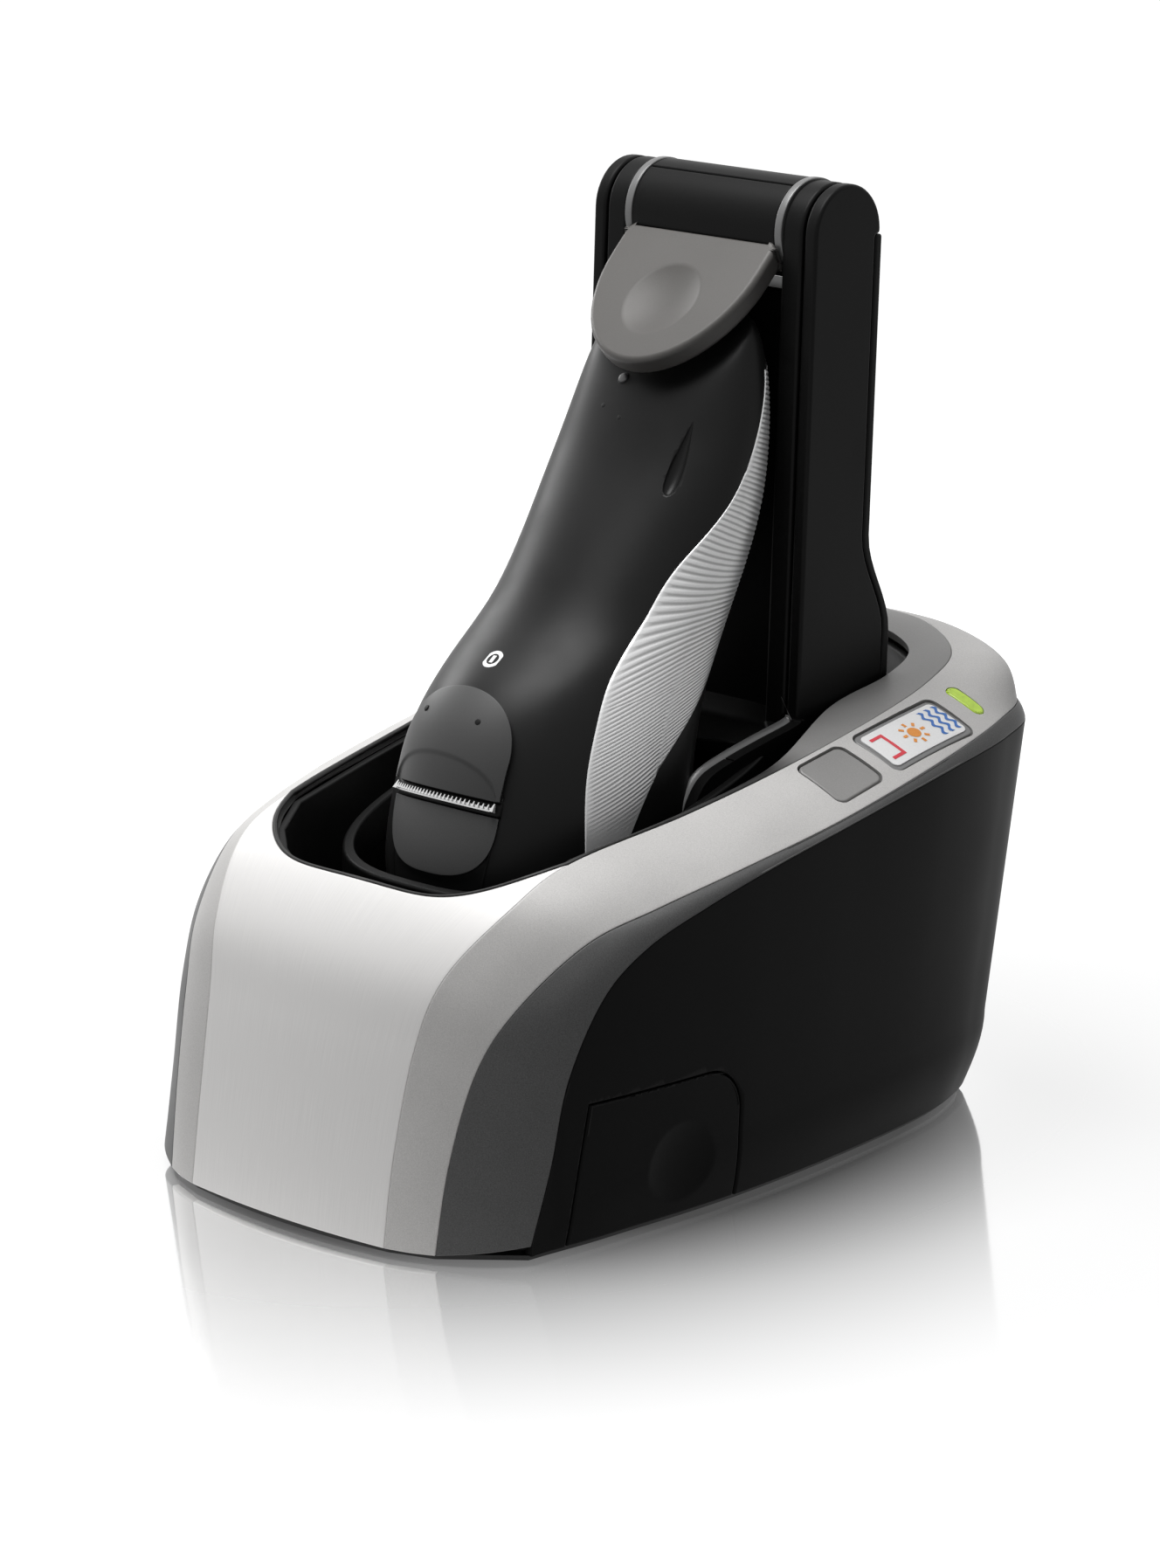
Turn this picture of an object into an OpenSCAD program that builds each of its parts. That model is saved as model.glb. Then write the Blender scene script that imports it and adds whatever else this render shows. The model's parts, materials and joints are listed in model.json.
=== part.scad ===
// Shaver cleaning station with a docked rotary shaver.
// Units are millimetres. +Z is up, the front faces -Y and X = 0 is the plane of symmetry.
// The origin lies on the table, in the middle of the outline.

/* [Housing] */
// Width over the side panels at the rim
body_w = 130; // [124:1:136]
// Length from front to back at the rim
body_l = 189; // [182:1:198]
// Height of the rear rim above the table
rim_h = 101; // [97:1:106]
// Wall of the outer shells
wall = 2.2; // [1.6:0.1:2.6]
// Outward bow of the front panel at its middle
crown = 2.5; // [0.5:0.5:4]
// Height of the dark gap under the shells
plinth_h = 2; // [1.7:0.1:2.6]
// Inset of the base plate behind the shells
plinth_inset = 1.5; // [1:0.1:2.2]

/* [Controls] */
// Side of the square on/off button
button_s = 12.6; // [10:0.2:13.6]
// Travel of the on/off button
button_travel = 1; // [0.5:0.1:1.4]
// Length of the display window along the rim
display_l = 24.6; // [18:0.2:26]
// Width of the display window across the rim
display_w = 12.6; // [10:0.2:13.6]
// Length of the charge light across the rim
lens_l = 9.5; // [7:0.5:11]
// Width of the charge light
lens_w = 3.4; // [2.5:0.1:4]
// Gap round the buttons
button_gap = 0.5; // [0.3:0.1:0.8]
// Rear end of the release buttons, from the front of the station
release_end = 75; // [70:1:80]
// Height of the release buttons above the plinth gap
release_h = 29.5; // [24:0.5:34]
// Travel of the release buttons
release_travel = 2; // [1:0.25:2.5]
// Diameter of the finger dimple in the release buttons
dimple_d = 19.5; // [14:0.5:20]

/* [Tower] */
// Distance of the cap hinge from the middle of the station
axis_y = 46; // [44:0.5:48]
// Height of the cap hinge above the table
axis_z = 193.8; // [188:0.5:200]
// Backward lean of the tower in degrees
lean = 2.4; // [1:0.2:3]
// Width over the tower
tower_w = 64; // [62:0.5:65]
// Thickness of the tower's side plates
cheek_t = 3.4; // [2.5:0.1:4]
// Radius of the rounded top of the tower
top_r = 10.6; // [9.5:0.1:11]
// Radius of the cap barrel
barrel_r = 10.9; // [9.8:0.1:11.3]
// Running gap beside the sliding holder
slide_gap = 0.6; // [0.3:0.1:1]
// Travel of the holder
lift_travel = 24; // [15:1:26]
// Diameter of the cap hinge pin
hinge_d = 4; // [3:0.5:5]
// Radial running clearance of shafts and pins
run_gap = 0.05; // [0.02:0.01:0.08]

/* [Cap] */
// Width of the cap
cap_w = 42.8; // [38:0.2:44]
// Length of the cap from the barrel to its tip
cap_l = 35; // [30:0.5:38]
// Thickness of the cap
cap_t = 5; // [4:0.25:6]
// Downward slope of the cap in degrees
cap_slope = 44; // [40:1:48]
// Length of the finger dish
dish_l = 20; // [14:0.5:22]
// Depth of the finger dish
dish_h = 1.6; // [0.8:0.1:2.2]

/* [Lift drive] */
// Module of the rack and its pinion
rack_m = 1; // [0.9:0.1:1.1]
// Teeth on the rack pinion
pinion_n = 16; // [14:1:18]
// Module of the motor gears
gear_m = 0.8; // [0.7:0.05:0.9]
// Teeth on the reduction gear
reduction_n = 36; // [30:1:40]
// Teeth on the motor gear
motor_n = 12; // [12:1:16]
// Width of the rack and the pinion
rack_w = 7; // [5:0.5:9]
// Width of the motor gears
gear_w = 4; // [3:0.5:5]
// Diameter of the pinion shaft
shaft_d = 4; // [3:0.5:5]
// Play between gear flanks
backlash = 0.2; // [0.1:0.05:0.3]
// Diameter of the lift motor
motor_d = 20; // [16:1:22]
// Length of the lift motor
motor_l = 26; // [20:1:28]

/* [Cleaning chamber] */
// Height of the tub above the table
tub_h = 38; // [32:1:40]
// Width of the tub
tub_w = 88; // [80:1:90]
// Length of the tub
tub_l = 96; // [90:1:98]
// Wall of the tub
tub_t = 2; // [1.5:0.25:3]
// Diameter of the rubber feet
foot_d = 11; // [8:1:13]
// Height of the rubber feet
foot_h = 1.4; // [1.1:0.1:1.6]

/* [Shaver] */
// Half width of the shaver at its head
head_half_w = 32.5; // [31:0.5:33]
// Half width of the shaver's handle
grip_half_w = 26; // [24:0.5:26.5]
// Width of the trimmer blade
blade_w = 32; // [28:0.5:34]
// Thickness of the trimmer housing
trimmer_t = 2.2; // [1.5:0.1:2.6]
// Thickness of the silver side panels
inlay_t = 0.8; // [0.5:0.1:1.2]

/* [Hidden] */

// ---- sampling ----
ROWS = 48;         // samples along half of each rail
SEAM = 5 / 12;     // share of a rail on the front panel's edge
FRONT_COLS = 8;    // samples across half of the front panel
FACE_TURN = 32;    // samples round the shaver

// ---- small functions ----
function lerp(a, b, t) = a + (b - a) * t;
function unit(v) = v / norm(v);
function clamp(x, lo, hi) = min(max(x, lo), hi);
function ease(x) = let (t = clamp(x, 0, 1)) t * t * (3 - 2 * t);
function flip(p) = [-p.x, p.y, p.z];
function catmull(a, b, c, d, t) =
    0.5 * (2 * b + (c - a) * t + (2 * a - 5 * b + 4 * c - d) * t * t + (3 * b - a - 3 * c + d) * t
        * t * t);
// smooth curve through the points p
function spline(p, u) =
    let (n = len(p) - 1, s = clamp(u, 0, 1) * n, i = min(floor(s), n - 1))
    catmull(p[max(i - 1, 0)], p[i], p[i + 1], p[min(i + 2, n)], s - i);
// the same for a rail that ends on the plane of symmetry
function rail_at(p, u) =
    let (n = len(p) - 1, s = clamp(u, 0, 1) * n, i = min(floor(s), n - 1))
    catmull(p[max(i - 1, 0)], p[i], p[i + 1], i + 2 > n ? flip(p[n - 1]) : p[i + 2], s - i);
// a rail's points, given as shares of half the width, half the length and the height over the plinth gap
function rail(shares) = [for (p = shares)
    [p.x * body_w / 2, p.y * body_l / 2, plinth_h + p.z * (rim_h - plinth_h)]];

// ---- rails of the right half, from the floor in front over the shoulder to the middle of the rear ----
// edge of the front panel, then crest of the pocket rim
CREST = rail([
    [0.44, -0.974, 0], [0.443, -0.945, 0.182], [0.465, -0.894, 0.409], [0.517, -0.836, 0.561],
    [0.609, -0.7, 0.69], [0.632, -0.53, 0.758], [0.695, -0.2, 0.808], [0.723, 0.106, 0.857],
    [0.705, 0.444, 0.909], [0.654, 0.667, 0.943], [0.562, 0.82, 0.973], [0.308, 0.929, 0.996],
        [0, 0.947, 1]]);
// outer edge of the silver top frame
FRAME = rail([
    [0.606, -0.931, 0], [0.622, -0.898, 0.192], [0.662, -0.84, 0.384], [0.731, -0.762, 0.51],
    [0.82, -0.61, 0.628], [0.889, -0.435, 0.678], [0.945, -0.2, 0.724], [0.974, 0.106, 0.773],
    [0.969, 0.444, 0.835], [0.892, 0.72, 0.869], [0.762, 0.889, 0.879], [0.431, 0.98, 0.886],
        [0, 0.99, 0.889]]);
// upper edge of the black housing
BELT = rail([
    [0.831, -0.794, 0.022], [0.846, -0.742, 0.185], [0.866, -0.702, 0.364], [0.898, -0.614, 0.525],
    [0.931, -0.5, 0.612], [0.962, -0.34, 0.667], [0.987, -0.14, 0.716], [1, 0.127, 0.764],
    [0.994, 0.455, 0.815], [0.917, 0.73, 0.833], [0.782, 0.903, 0.84], [0.443, 0.99, 0.844],
        [0, 1, 0.848]]);
// lower edge of the black housing
FLOOR = rail([
    [0.831, -0.794, 0], [0.84, -0.742, 0], [0.849, -0.7, 0], [0.866, -0.614, 0],
    [0.88, -0.5, 0], [0.9, -0.34, 0], [0.912, -0.14, 0], [0.902, 0.127, 0],
    [0.862, 0.44, 0], [0.8, 0.64, 0], [0.669, 0.799, 0], [0.377, 0.88, 0], [0, 0.889, 0]]);
// share of the half width that lies gap beside the tower
function beside(gap) = (tower_w + 2 * gap) / body_w;
// inner edge of the pocket rim, from the end of the front panel
LIP = rail([
    [0.606, -0.529, 0.757], [0.672, -0.2, 0.807], [0.69, 0.09, 0.853], [beside(4.4), 0.43, 0.894],
    [beside(3.4), 0.635, 0.929], [beside(-2.1), 0.772, 0.958], [0.23, 0.852, 0.976], [0, 0.868, 0.98]]);
LIP_DROP = 0.2;    // roll of the pocket rim's lip

// from a point on the skin towards the middle of the station
function inward(p) = unit([0, clamp(p.y, -0.53 * body_l / 2, 0.53 * body_l / 2),
    min(p.z, 0.45 * rim_h)] - p);

// point of the front panel: s from the floor to the pocket, t from left to right
function panel_point(s, t) =
    let (
        reach = 0.76 + 0.24 * pow(abs(t), 5),
        u = s * reach * SEAM,
        a = rail_at(CREST, u),
        b = rail_at(CREST, u + 0.01),
        c = rail_at(CREST, max(u - 0.01, 0)),
        along = unit([0, b.y - c.y, b.z - c.z]),
        out = [0, -along.z, along.y]
    )
    [t * a.x, a.y, a.z] + out * crown * (1 - t * t);

// ---- skins ----
// closed shell over a grid of points on its outer face; depth(p) leads from each point to the inner face
module shell(grid, depth, ring = false) {
    rows = len(grid);
    cols = len(grid[0]);
    outer = [for (row = grid) for (p = row) p];
    inner = [for (p = outer) p + depth(p)];
    count = rows * cols;
    last = ring ? rows - 1 : rows - 2;
    function o(i, j) = (i % rows) * cols + j;
    function n(i, j) = o(i, j) + count;
    faces = [
        for (i = [0 : last]) for (j = [0 : cols - 2]) each [
            [o(i, j), o(i + 1, j), o(i + 1, j + 1)], [o(i, j), o(i + 1, j + 1), o(i, j + 1)],
            [n(i, j), n(i + 1, j + 1), n(i + 1, j)], [n(i, j), n(i, j + 1), n(i + 1, j + 1)]],
        for (i = [0 : last]) each [
            [o(i, 0), n(i, 0), n(i + 1, 0)], [o(i, 0), n(i + 1, 0), o(i + 1, 0)],
            [o(i, cols - 1), n(i + 1, cols - 1), n(i, cols - 1)],
            [o(i, cols - 1), o(i + 1, cols - 1), n(i + 1, cols - 1)]],
        if (!ring) for (j = [0 : cols - 2]) each [
            [o(0, j), o(0, j + 1), n(0, j + 1)], [o(0, j), n(0, j + 1), n(0, j)],
            [o(rows - 1, j), n(rows - 1, j + 1), o(rows - 1, j + 1)],
            [o(rows - 1, j), n(rows - 1, j), n(rows - 1, j + 1)]]
    ];
    polyhedron(concat(outer, inner), faces, convexity = 8);
}

// rows of a strip between two rails, right side first, then the left one
function around(cut) = [
    for (k = [0 : ROWS]) cut(k / ROWS),
    for (k = [ROWS - 1 : -1 : 0]) [for (p = cut(k / ROWS)) flip(p)]
];
function skin_depth(p) = wall * inward(p);
// points across a strip, bowed outwards by a share of its width
function across(a, b, steps, bow) = [
    for (i = [0 : steps]) lerp(a, b, i / steps) - inward(lerp(a, b, 0.5)) * norm(b - a) * bow *
        sin(180 * i / steps)
];
function frame_row(u) = across(rail_at(CREST, u), rail_at(FRAME, u), 3, 0.04);
function trim_row(u) = across(rail_at(FRAME, u), rail_at(BELT, u), 2, 0.07);
FLARE = [1, 0.7, 0.4, 0.2, 0.12, 0.05, 0];    // heights of the housing's rows, as shares
TUCK_H = 0.2;                                 // share of the height that the foot of the housing takes
TUCK = 0.37;                                  // share of the flare inside that foot
function flare(w) = w < TUCK_H ? TUCK * sin(90 * w / TUCK_H) : TUCK + (1 - TUCK) * (w - TUCK_H) /
    (1 - TUCK_H);
function housing_point(u, w) =
    let (a = rail_at(FLOOR, u), b = rail_at(BELT, u), f = flare(w))
    [lerp(a.x, b.x, f), lerp(a.y, b.y, f), lerp(a.z, b.z, w)];
function housing_row(u) = [for (w = FLARE) housing_point(u, w)];

module frame_skin() shell(around(function(u) frame_row(u)), function(p) skin_depth(p));
module housing_skin() shell(around(function(u) housing_row(u)), function(p) skin_depth(p));

// ---- pocket loop: front middle, right side, rear, left side ----
function lip_of(p) = let (side = p.x / (0.632 * body_w / 2)) [p.x - 1.5 * side,
    p.y + 1.5 * (1 - side * side), p.z - LIP_DROP];
function loop_half() = [
    for (k = [0 : FRONT_COLS - 1]) let (p = panel_point(1, k / FRONT_COLS)) [lip_of(p), p],
    for (k = [round(SEAM * ROWS) : ROWS]) let (u = k / ROWS) [rail_at(LIP,
        (u - SEAM) / (1 - SEAM)), rail_at(CREST, u)]
];
HALF = loop_half();
LOOP = concat(HALF, [for (k = [len(HALF) - 2 : -1 : 1]) [flip(HALF[k][0]), flip(HALF[k][1])]]);

// the pocket's lower outline, below a point of its lip
POCKET_REAR = axis_y + 15.5;    // rear wall of the pocket, behind the tower
DECK_H = 78;            // underside of the pocket round the tower
function low(p, z) = [
    abs(p.x) > tower_w / 2 + 2.4 ? sign(p.x) * lerp(tower_w / 2 + 2.4, abs(p.x), 0.54) : p.x,
    p.y < 0 ? 0.9 * p.y : min(p.y, POCKET_REAR), z];
function low_z(p) = lerp(tub_h + 2, DECK_H, ease((p.y - 14) / 20));
LINER_T = 1.8;
function liner_row(pair) =
    let (top = pair[0] + skin_depth(pair[0]) - [0, 0, 0.3], shelf = max(top.z - 22, low_z(top) + 3))
    [low(top, low_z(top)), low(top, shelf), lerp(top, low(top, shelf), 0.12) - [0, 0,
        8 * (1 - ease((top.y - 30) / 30)) + 2], top];

// ---- frames of reference ----
// on the tower: x across, y to the rear, z up the tower, from the cap hinge
module on_tower() translate([0, axis_y, axis_z]) rotate([-lean, 0, 0]) children();
// on the right band of the top frame, z along its outward normal
function band_axes(u) =
    let (a = rail_at(CREST, u), b = rail_at(FRAME, u), c = rail_at(FRAME, u + 0.02),
         d = rail_at(FRAME, u - 0.02), x = unit(b - a), z = unit(cross(b - a, c - d)))
    [x, cross(z, x), z, lerp(a, b, 0.5)];
module on_band(u) {
    f = band_axes(u);
    multmatrix([[f[0].x, f[1].x, f[2].x, f[3].x], [f[0].y, f[1].y, f[2].y, f[3].y],
                [f[0].z, f[1].z, f[2].z, f[3].z], [0, 0, 0, 1]]) children();
}
BUTTON_U = 0.605;       // places of the controls along the rails
DISPLAY_U = 0.668;
LIGHT_U = 0.726;

module rounded_slab(x, y, r, h) linear_extrude(h, center = true) {
    square([x - 2 * r, y], center = true);
    square([x, y - 2 * r], center = true);
    for (i = [-1, 1]) for (j = [-1, 1]) translate([i * (x / 2 - r), j * (y / 2 - r)]) circle(r,
        $fn = 32);
}
CUT_H = 14;             // depth of the cutters for the controls
module button_cut(grow) on_band(BUTTON_U) rounded_slab(button_s + 2 * grow, button_s + 2 * grow,
    1.5 + grow, CUT_H);
module display_cut(grow) on_band(DISPLAY_U) rounded_slab(display_w + 2 * grow,
    display_l + 2 * grow, 1.5 + grow, CUT_H);
module light_cut(grow) on_band(LIGHT_U)
    rounded_slab(lens_l + 2 * grow, lens_w + 2 * grow, lens_w / 2 + grow - 0.01, CUT_H);

// side view of the right release button, drawn as y and z
module release_outline(grow) {
    rear = -body_l / 2 + release_end + grow;
    top = plinth_h + release_h + grow;
    r = 10 + grow;
    front = rear - 41.5 - 2 * grow;
    polygon([[front - 5.5, -1], [rear, -1],
             for (a = [0 : 15 : 90]) [rear - r + r * cos(a), top - r + r * sin(a)], [front, top]]);
}
RELEASE_IN = 25;        // the cutters for the release buttons reach this far inwards
module release_cut(grow) translate([body_w / 2 - RELEASE_IN, 0, 0]) rotate([90, 0, 90])
    linear_extrude(RELEASE_IN + body_w / 10) release_outline(grow);

// ==== casing ====
module front_panel() color("silver")
    shell([for (s = [0 : round(SEAM * ROWS)])
               [for (t = [-FRONT_COLS : FRONT_COLS]) panel_point(s / round(SEAM * ROWS),
                   t / FRONT_COLS)]],
          function(p) skin_depth(p));

module top_frame() color("silver") difference() {
    frame_skin();
    button_cut(button_gap);
    display_cut(button_gap);
    light_cut(0.15);
}

module corner_trim() color("dimgray") shell(around(function(u) trim_row(u)), function(p) skin_depth(p));

SOCKET_W = 12;          // opening for the mains lead in the rear
SOCKET_H = 9;
SOCKET_Z = 22;
module housing() color("black") difference() {
    housing_skin();
    release_cut(0);
    mirror([1, 0, 0]) release_cut(0);
    translate([0, body_l / 2 - 5, SOCKET_Z]) cube([SOCKET_W, body_l / 9, SOCKET_H], center = true);
}

module inner_rim() color("gray") shell(LOOP, function(p) skin_depth(p), ring = true);

module pocket_liner() color("black")
    shell([for (pair = LOOP) liner_row(pair)],
          function(p) LINER_T * unit([p.x, p.y * 0.6 + 4, 0]), ring = true);

// ==== controls ====
module on_off_button() color("gray") intersection() {
    frame_skin();
    button_cut(0);
}

module display_window() color("white") intersection() {
    frame_skin();
    display_cut(0);
}

module charge_light() color("yellowgreen") intersection() {
    frame_skin();
    light_cut(0);
}

BOARD_W = 11;
BOARD_L = 50;
BOARD_T = 1.6;
BOARD_DROP = 8;         // upper face of the board, under the skin
module circuit_board() color("green") on_band(DISPLAY_U)
    translate([-BOARD_W / 2, -BOARD_L / 2 - 6, -BOARD_DROP - BOARD_T])
        cube([BOARD_W, BOARD_L, BOARD_T]);

SWITCH_S = 6;
module button_switch() color("black") on_band(DISPLAY_U) {
    y = -20.5;
    rise = BOARD_DROP - wall - button_travel - 0.4;
    translate([-SWITCH_S / 2, y - SWITCH_S / 2, -BOARD_DROP]) cube([SWITCH_S, SWITCH_S, rise - 1]);
    translate([0, y, -BOARD_DROP]) cylinder(h = rise, r = 1.6, $fn = 32);
}

LED_R = 1.5;
module display_leds() color("white") on_band(DISPLAY_U)
    for (i = [-1 : 2]) translate([0, i * 8, -BOARD_DROP]) {
        cylinder(h = 2.4, r = LED_R, $fn = 32);
        cylinder(h = 1, r = LED_R + 0.4, $fn = 32);
    }

ARM_X = tub_w / 2 + 2.6;    // inner end of a release button's arm
DIMPLE_U = 0.398;       // place of the dimple along the rails and up the side, as shares
DIMPLE_W = 0.18;
module release_button_right() color("black") {
    p = housing_point(DIMPLE_U, DIMPLE_W);
    n = unit(cross(housing_point(DIMPLE_U + 0.03, DIMPLE_W) - housing_point(DIMPLE_U - 0.03, DIMPLE_W),
                   housing_point(DIMPLE_U, DIMPLE_W + 0.12) - housing_point(DIMPLE_U,
                       DIMPLE_W - 0.12)));
    ball_r = (pow(dimple_d / 2, 2) + pow(DIMPLE_H, 2)) / (2 * DIMPLE_H);
    difference() {
        intersection() {
            housing_skin();
            release_cut(-button_gap);
        }
        translate(p + n * (ball_r - DIMPLE_H)) sphere(ball_r, $fn = 96);
    }
    // latch arm towards the tub
    translate([ARM_X, p.y - 3.5, p.z - 4]) cube([p.x - wall + 0.3 - ARM_X, 7, 4]);
    translate([ARM_X, p.y - 3.5, p.z - 6]) cube([1.6, 7, 6]);
}
DIMPLE_H = 1.3;
module release_button_left() mirror([1, 0, 0]) release_button_right();

// ==== tower ====
BASE_TOP = 6;           // upper face of the station's floor
COVER_T = 2.2;
COVER_Y = 9;            // front face of the tower's rear cover
BULGE = 8;              // rearward bulge of the tower's foot
BULGE_TOP = -66;
BULGE_END = -88;
PLATE_END = -112;       // the rear cover ends here
tower_foot = -(axis_z - BASE_TOP) / cos(lean) - 2;
hole_r = hinge_d / 2;
in_w = tower_w / 2 - cheek_t;      // inner half width between the side plates
hold_w = in_w - slide_gap;         // half width of the sliding holder
foot_y = axis_y - (axis_z - BASE_TOP) * tan(lean);

function rear_line(y) = [
    [y, -0.7], [y, BULGE_TOP],
    for (i = [1 : 8]) [y + BULGE * ease(i / 8), lerp(BULGE_TOP, BULGE_END, i / 8)],
    [y + BULGE, PLATE_END]];
function turned(p) = [for (i = [len(p) - 1 : -1 : 0]) p[i]];
// profile drawn as y and z of the tower, extruded across it between two x values
module across_tower(x0, x1) translate([x0, 0, 0]) rotate([90, 0, 90]) linear_extrude(x1 - x0)
    children();
// everything under the upper face of the floor goes
module on_floor() difference() {
    children();
    translate([-body_w, -body_l, -rim_h]) cube([2 * body_w, 2 * body_l, rim_h + BASE_TOP]);
}

FOOT_W = 7;             // screw blocks at the foot of the tower
FOOT_H = 12;
SCREW_R = 1.5;
SCREW_Y = [-6, 4];
SCREW_L = 7;
module at_screws(z) for (side = [-1, 1]) for (y = SCREW_Y)
    translate([side * (in_w - FOOT_W / 2), foot_y + y, z]) children();
module tower_frame() color("black") difference() {
    on_floor() on_tower() for (side = [0, 1]) mirror([side, 0, 0]) {
        across_tower(in_w, tower_w / 2) {
            difference() {
                circle(top_r, $fn = 96);
                translate([COVER_Y, -20.7]) square([10, 20]);
            }
            polygon(concat([[0, 0], [-top_r, 0], [-top_r, tower_foot], [COVER_Y, tower_foot],
                [COVER_Y, PLATE_END]],
                           turned(rear_line(COVER_Y)), [[COVER_Y, 0]]));
        }
        translate([in_w - FOOT_W, -top_r, tower_foot]) cube([FOOT_W + 0.1, top_r + COVER_Y, FOOT_H]);
    }
    at_screws(0) cylinder(h = BASE_TOP + SCREW_L, r = SCREW_R, $fn = 32);
}

CHEEK_W = 5.5;          // width of the holder's cheeks
WINDOW_W = hold_w - CHEEK_W + 0.9;    // half width of the cover's window for the cap barrel
module tower_cover() color("black") on_tower() difference() {
    across_tower(-tower_w / 2, tower_w / 2)
        polygon(concat(rear_line(COVER_Y), turned(rear_line(COVER_Y + COVER_T))));
    translate([-WINDOW_W, 0, -lift_travel - barrel_r - 1.2]) cube([2 * WINDOW_W, 20, 60]);
}

// ==== holder ====
HOLD_END = -104;        // lower end of the holder's block
CHEEK_END = -116;       // lower end of its cheeks, which carry the head ring
HOLD_BACK = 8.4;        // rear face of the holder
HOLD_FRONT = -7;        // front wall between the cheeks
BARREL_ROOM = 12.5;     // the recess for the barrel ends this far under the hinge
RING_T = 1.95;          // thickness of the bright rings beside the barrel
RING_GAP = 0.15;
barrel_l = 2 * (hold_w - CHEEK_W - RING_T - RING_GAP);
module holder() color("black") on_tower() difference() {
    across_tower(-hold_w, hold_w) intersection() {
        union() {
            circle(top_r, $fn = 96);
            translate([-top_r, CHEEK_END]) square([top_r + HOLD_BACK, -CHEEK_END]);
        }
        translate([-20, -200]) square([20 + HOLD_BACK, 300]);
    }
    // recess for the barrel
    translate([-hold_w + CHEEK_W, -20, -BARREL_ROOM]) cube([2 * (hold_w - CHEEK_W), 40, 40]);
    // recess behind the shaver
    translate([-hold_w + CHEEK_W, -20, CHEEK_END - 1]) cube([2 * (hold_w - CHEEK_W),
        20 + HOLD_FRONT, 200]);
    // room for the gears between the lower ends of the cheeks
    translate([-hold_w + CHEEK_W, -20, CHEEK_END - 1]) cube([2 * (hold_w - CHEEK_W), 40,
        HOLD_END - CHEEK_END + 1]);
    across_tower(-hold_w - 1, hold_w + 1) circle(hole_r, $fn = 64);
}

module hinge_rings() color("silver") on_tower() for (side = [0, 1]) mirror([side, 0, 0])
    across_tower(barrel_l / 2 + RING_GAP, hold_w - CHEEK_W) difference() {
        circle(barrel_r + 0.2, $fn = 96);
        circle(hole_r, $fn = 64);
    }

module hinge_pin() color("gray") on_tower() across_tower(-hold_w, hold_w) circle(hole_r, $fn = 64);

// ring round the shaver's head, carried by the cheeks
RING_Y = axis_y - 55;
RING_A = 36.3;
RING_B = 47;
RING_WALL = 2.3;
RING_H = 9;
RING_TOP = 89.8;        // height of its upper edge at the tower
RING_SLOPE = 15;
function oval(a, b, y0, n) = [for (k = [0 : n - 1]) let (w = 360 * k / n, c = cos(w), s = sin(w))
    [a * sign(c) * pow(abs(c), 2 / 3), y0 + b * sign(s) * pow(abs(s), 2 / 3)]];
module head_ring() color("black") difference() {
    intersection() {
        linear_extrude(120) difference() {
            polygon(oval(RING_A, RING_B, RING_Y, 72));
            polygon(oval(RING_A - RING_WALL, RING_B - RING_WALL, RING_Y, 72));
        }
        translate([0, axis_y - 12, RING_TOP]) rotate([RING_SLOPE, 0, 0])
            translate([-60, -120, -RING_H]) cube([120, 160, RING_H]);
    }
    on_tower() translate([-40, -top_r, -160]) cube([80, 60, 160]);
}

module shaver_rest() color("dimgray") difference() {
    on_tower() translate([-8, -16, -52]) cube([16, 16 + HOLD_FRONT, 26]);
    shaver_skin();
}

// ==== cap ====
module cap_barrel() color("black") on_tower() across_tower(-barrel_l / 2, barrel_l / 2) difference() {
    circle(barrel_r, $fn = 96);
    circle(hole_r + run_gap, $fn = 64);
}

CAP_START = 12;         // the cap's upper face meets the barrel this many degrees under its front
SHOULDER_L = 8;         // straight part of the cap's sides
module on_cap() on_tower() rotate([CAP_START, 0, 0]) translate([0, -barrel_r, 0])
    rotate([cap_slope + lean - CAP_START, 0, 0]) children();
module cap_outline() polygon(concat(
    [[cap_w / 2, 8], [cap_w / 2, -SHOULDER_L]],
    [for (a = [6 : 6 : 174]) [cap_w / 2 * cos(a), -SHOULDER_L - (cap_l - SHOULDER_L) * sin(a)]],
    [[-cap_w / 2, -SHOULDER_L], [-cap_w / 2, 8]]));
module cap() color("gray") difference() {
    on_cap() difference() {
        translate([0, 0, -cap_t]) linear_extrude(cap_t) cap_outline();
        dish_r = (pow(dish_l / 2, 2) + pow(dish_h, 2)) / (2 * dish_h);
        translate([0, -cap_l * 0.52, dish_r - dish_h]) sphere(dish_r, $fn = 128);
    }
    on_tower() {
        across_tower(-30, 30) circle(barrel_r, $fn = 96);
        for (side = [0, 1]) mirror([side, 0, 0]) across_tower(barrel_l / 2, 30)
            circle(barrel_r + 0.6, $fn = 96);
        translate([-30, 0, -30]) cube([60, 30, 60]);
    }
}

BLOCK_T = 1;
PIN_T = 0.4;
module contact_block() color("black") on_cap() translate([-7, -cap_l + 12, -cap_t - BLOCK_T])
    cube([14, 8, BLOCK_T]);
module contact_pins() color("gold") on_cap() for (x = [-3.5, 3.5])
    translate([x, -cap_l + 16, -cap_t - BLOCK_T - PIN_T]) cylinder(h = PIN_T, r = 1, $fn = 32);

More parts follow.
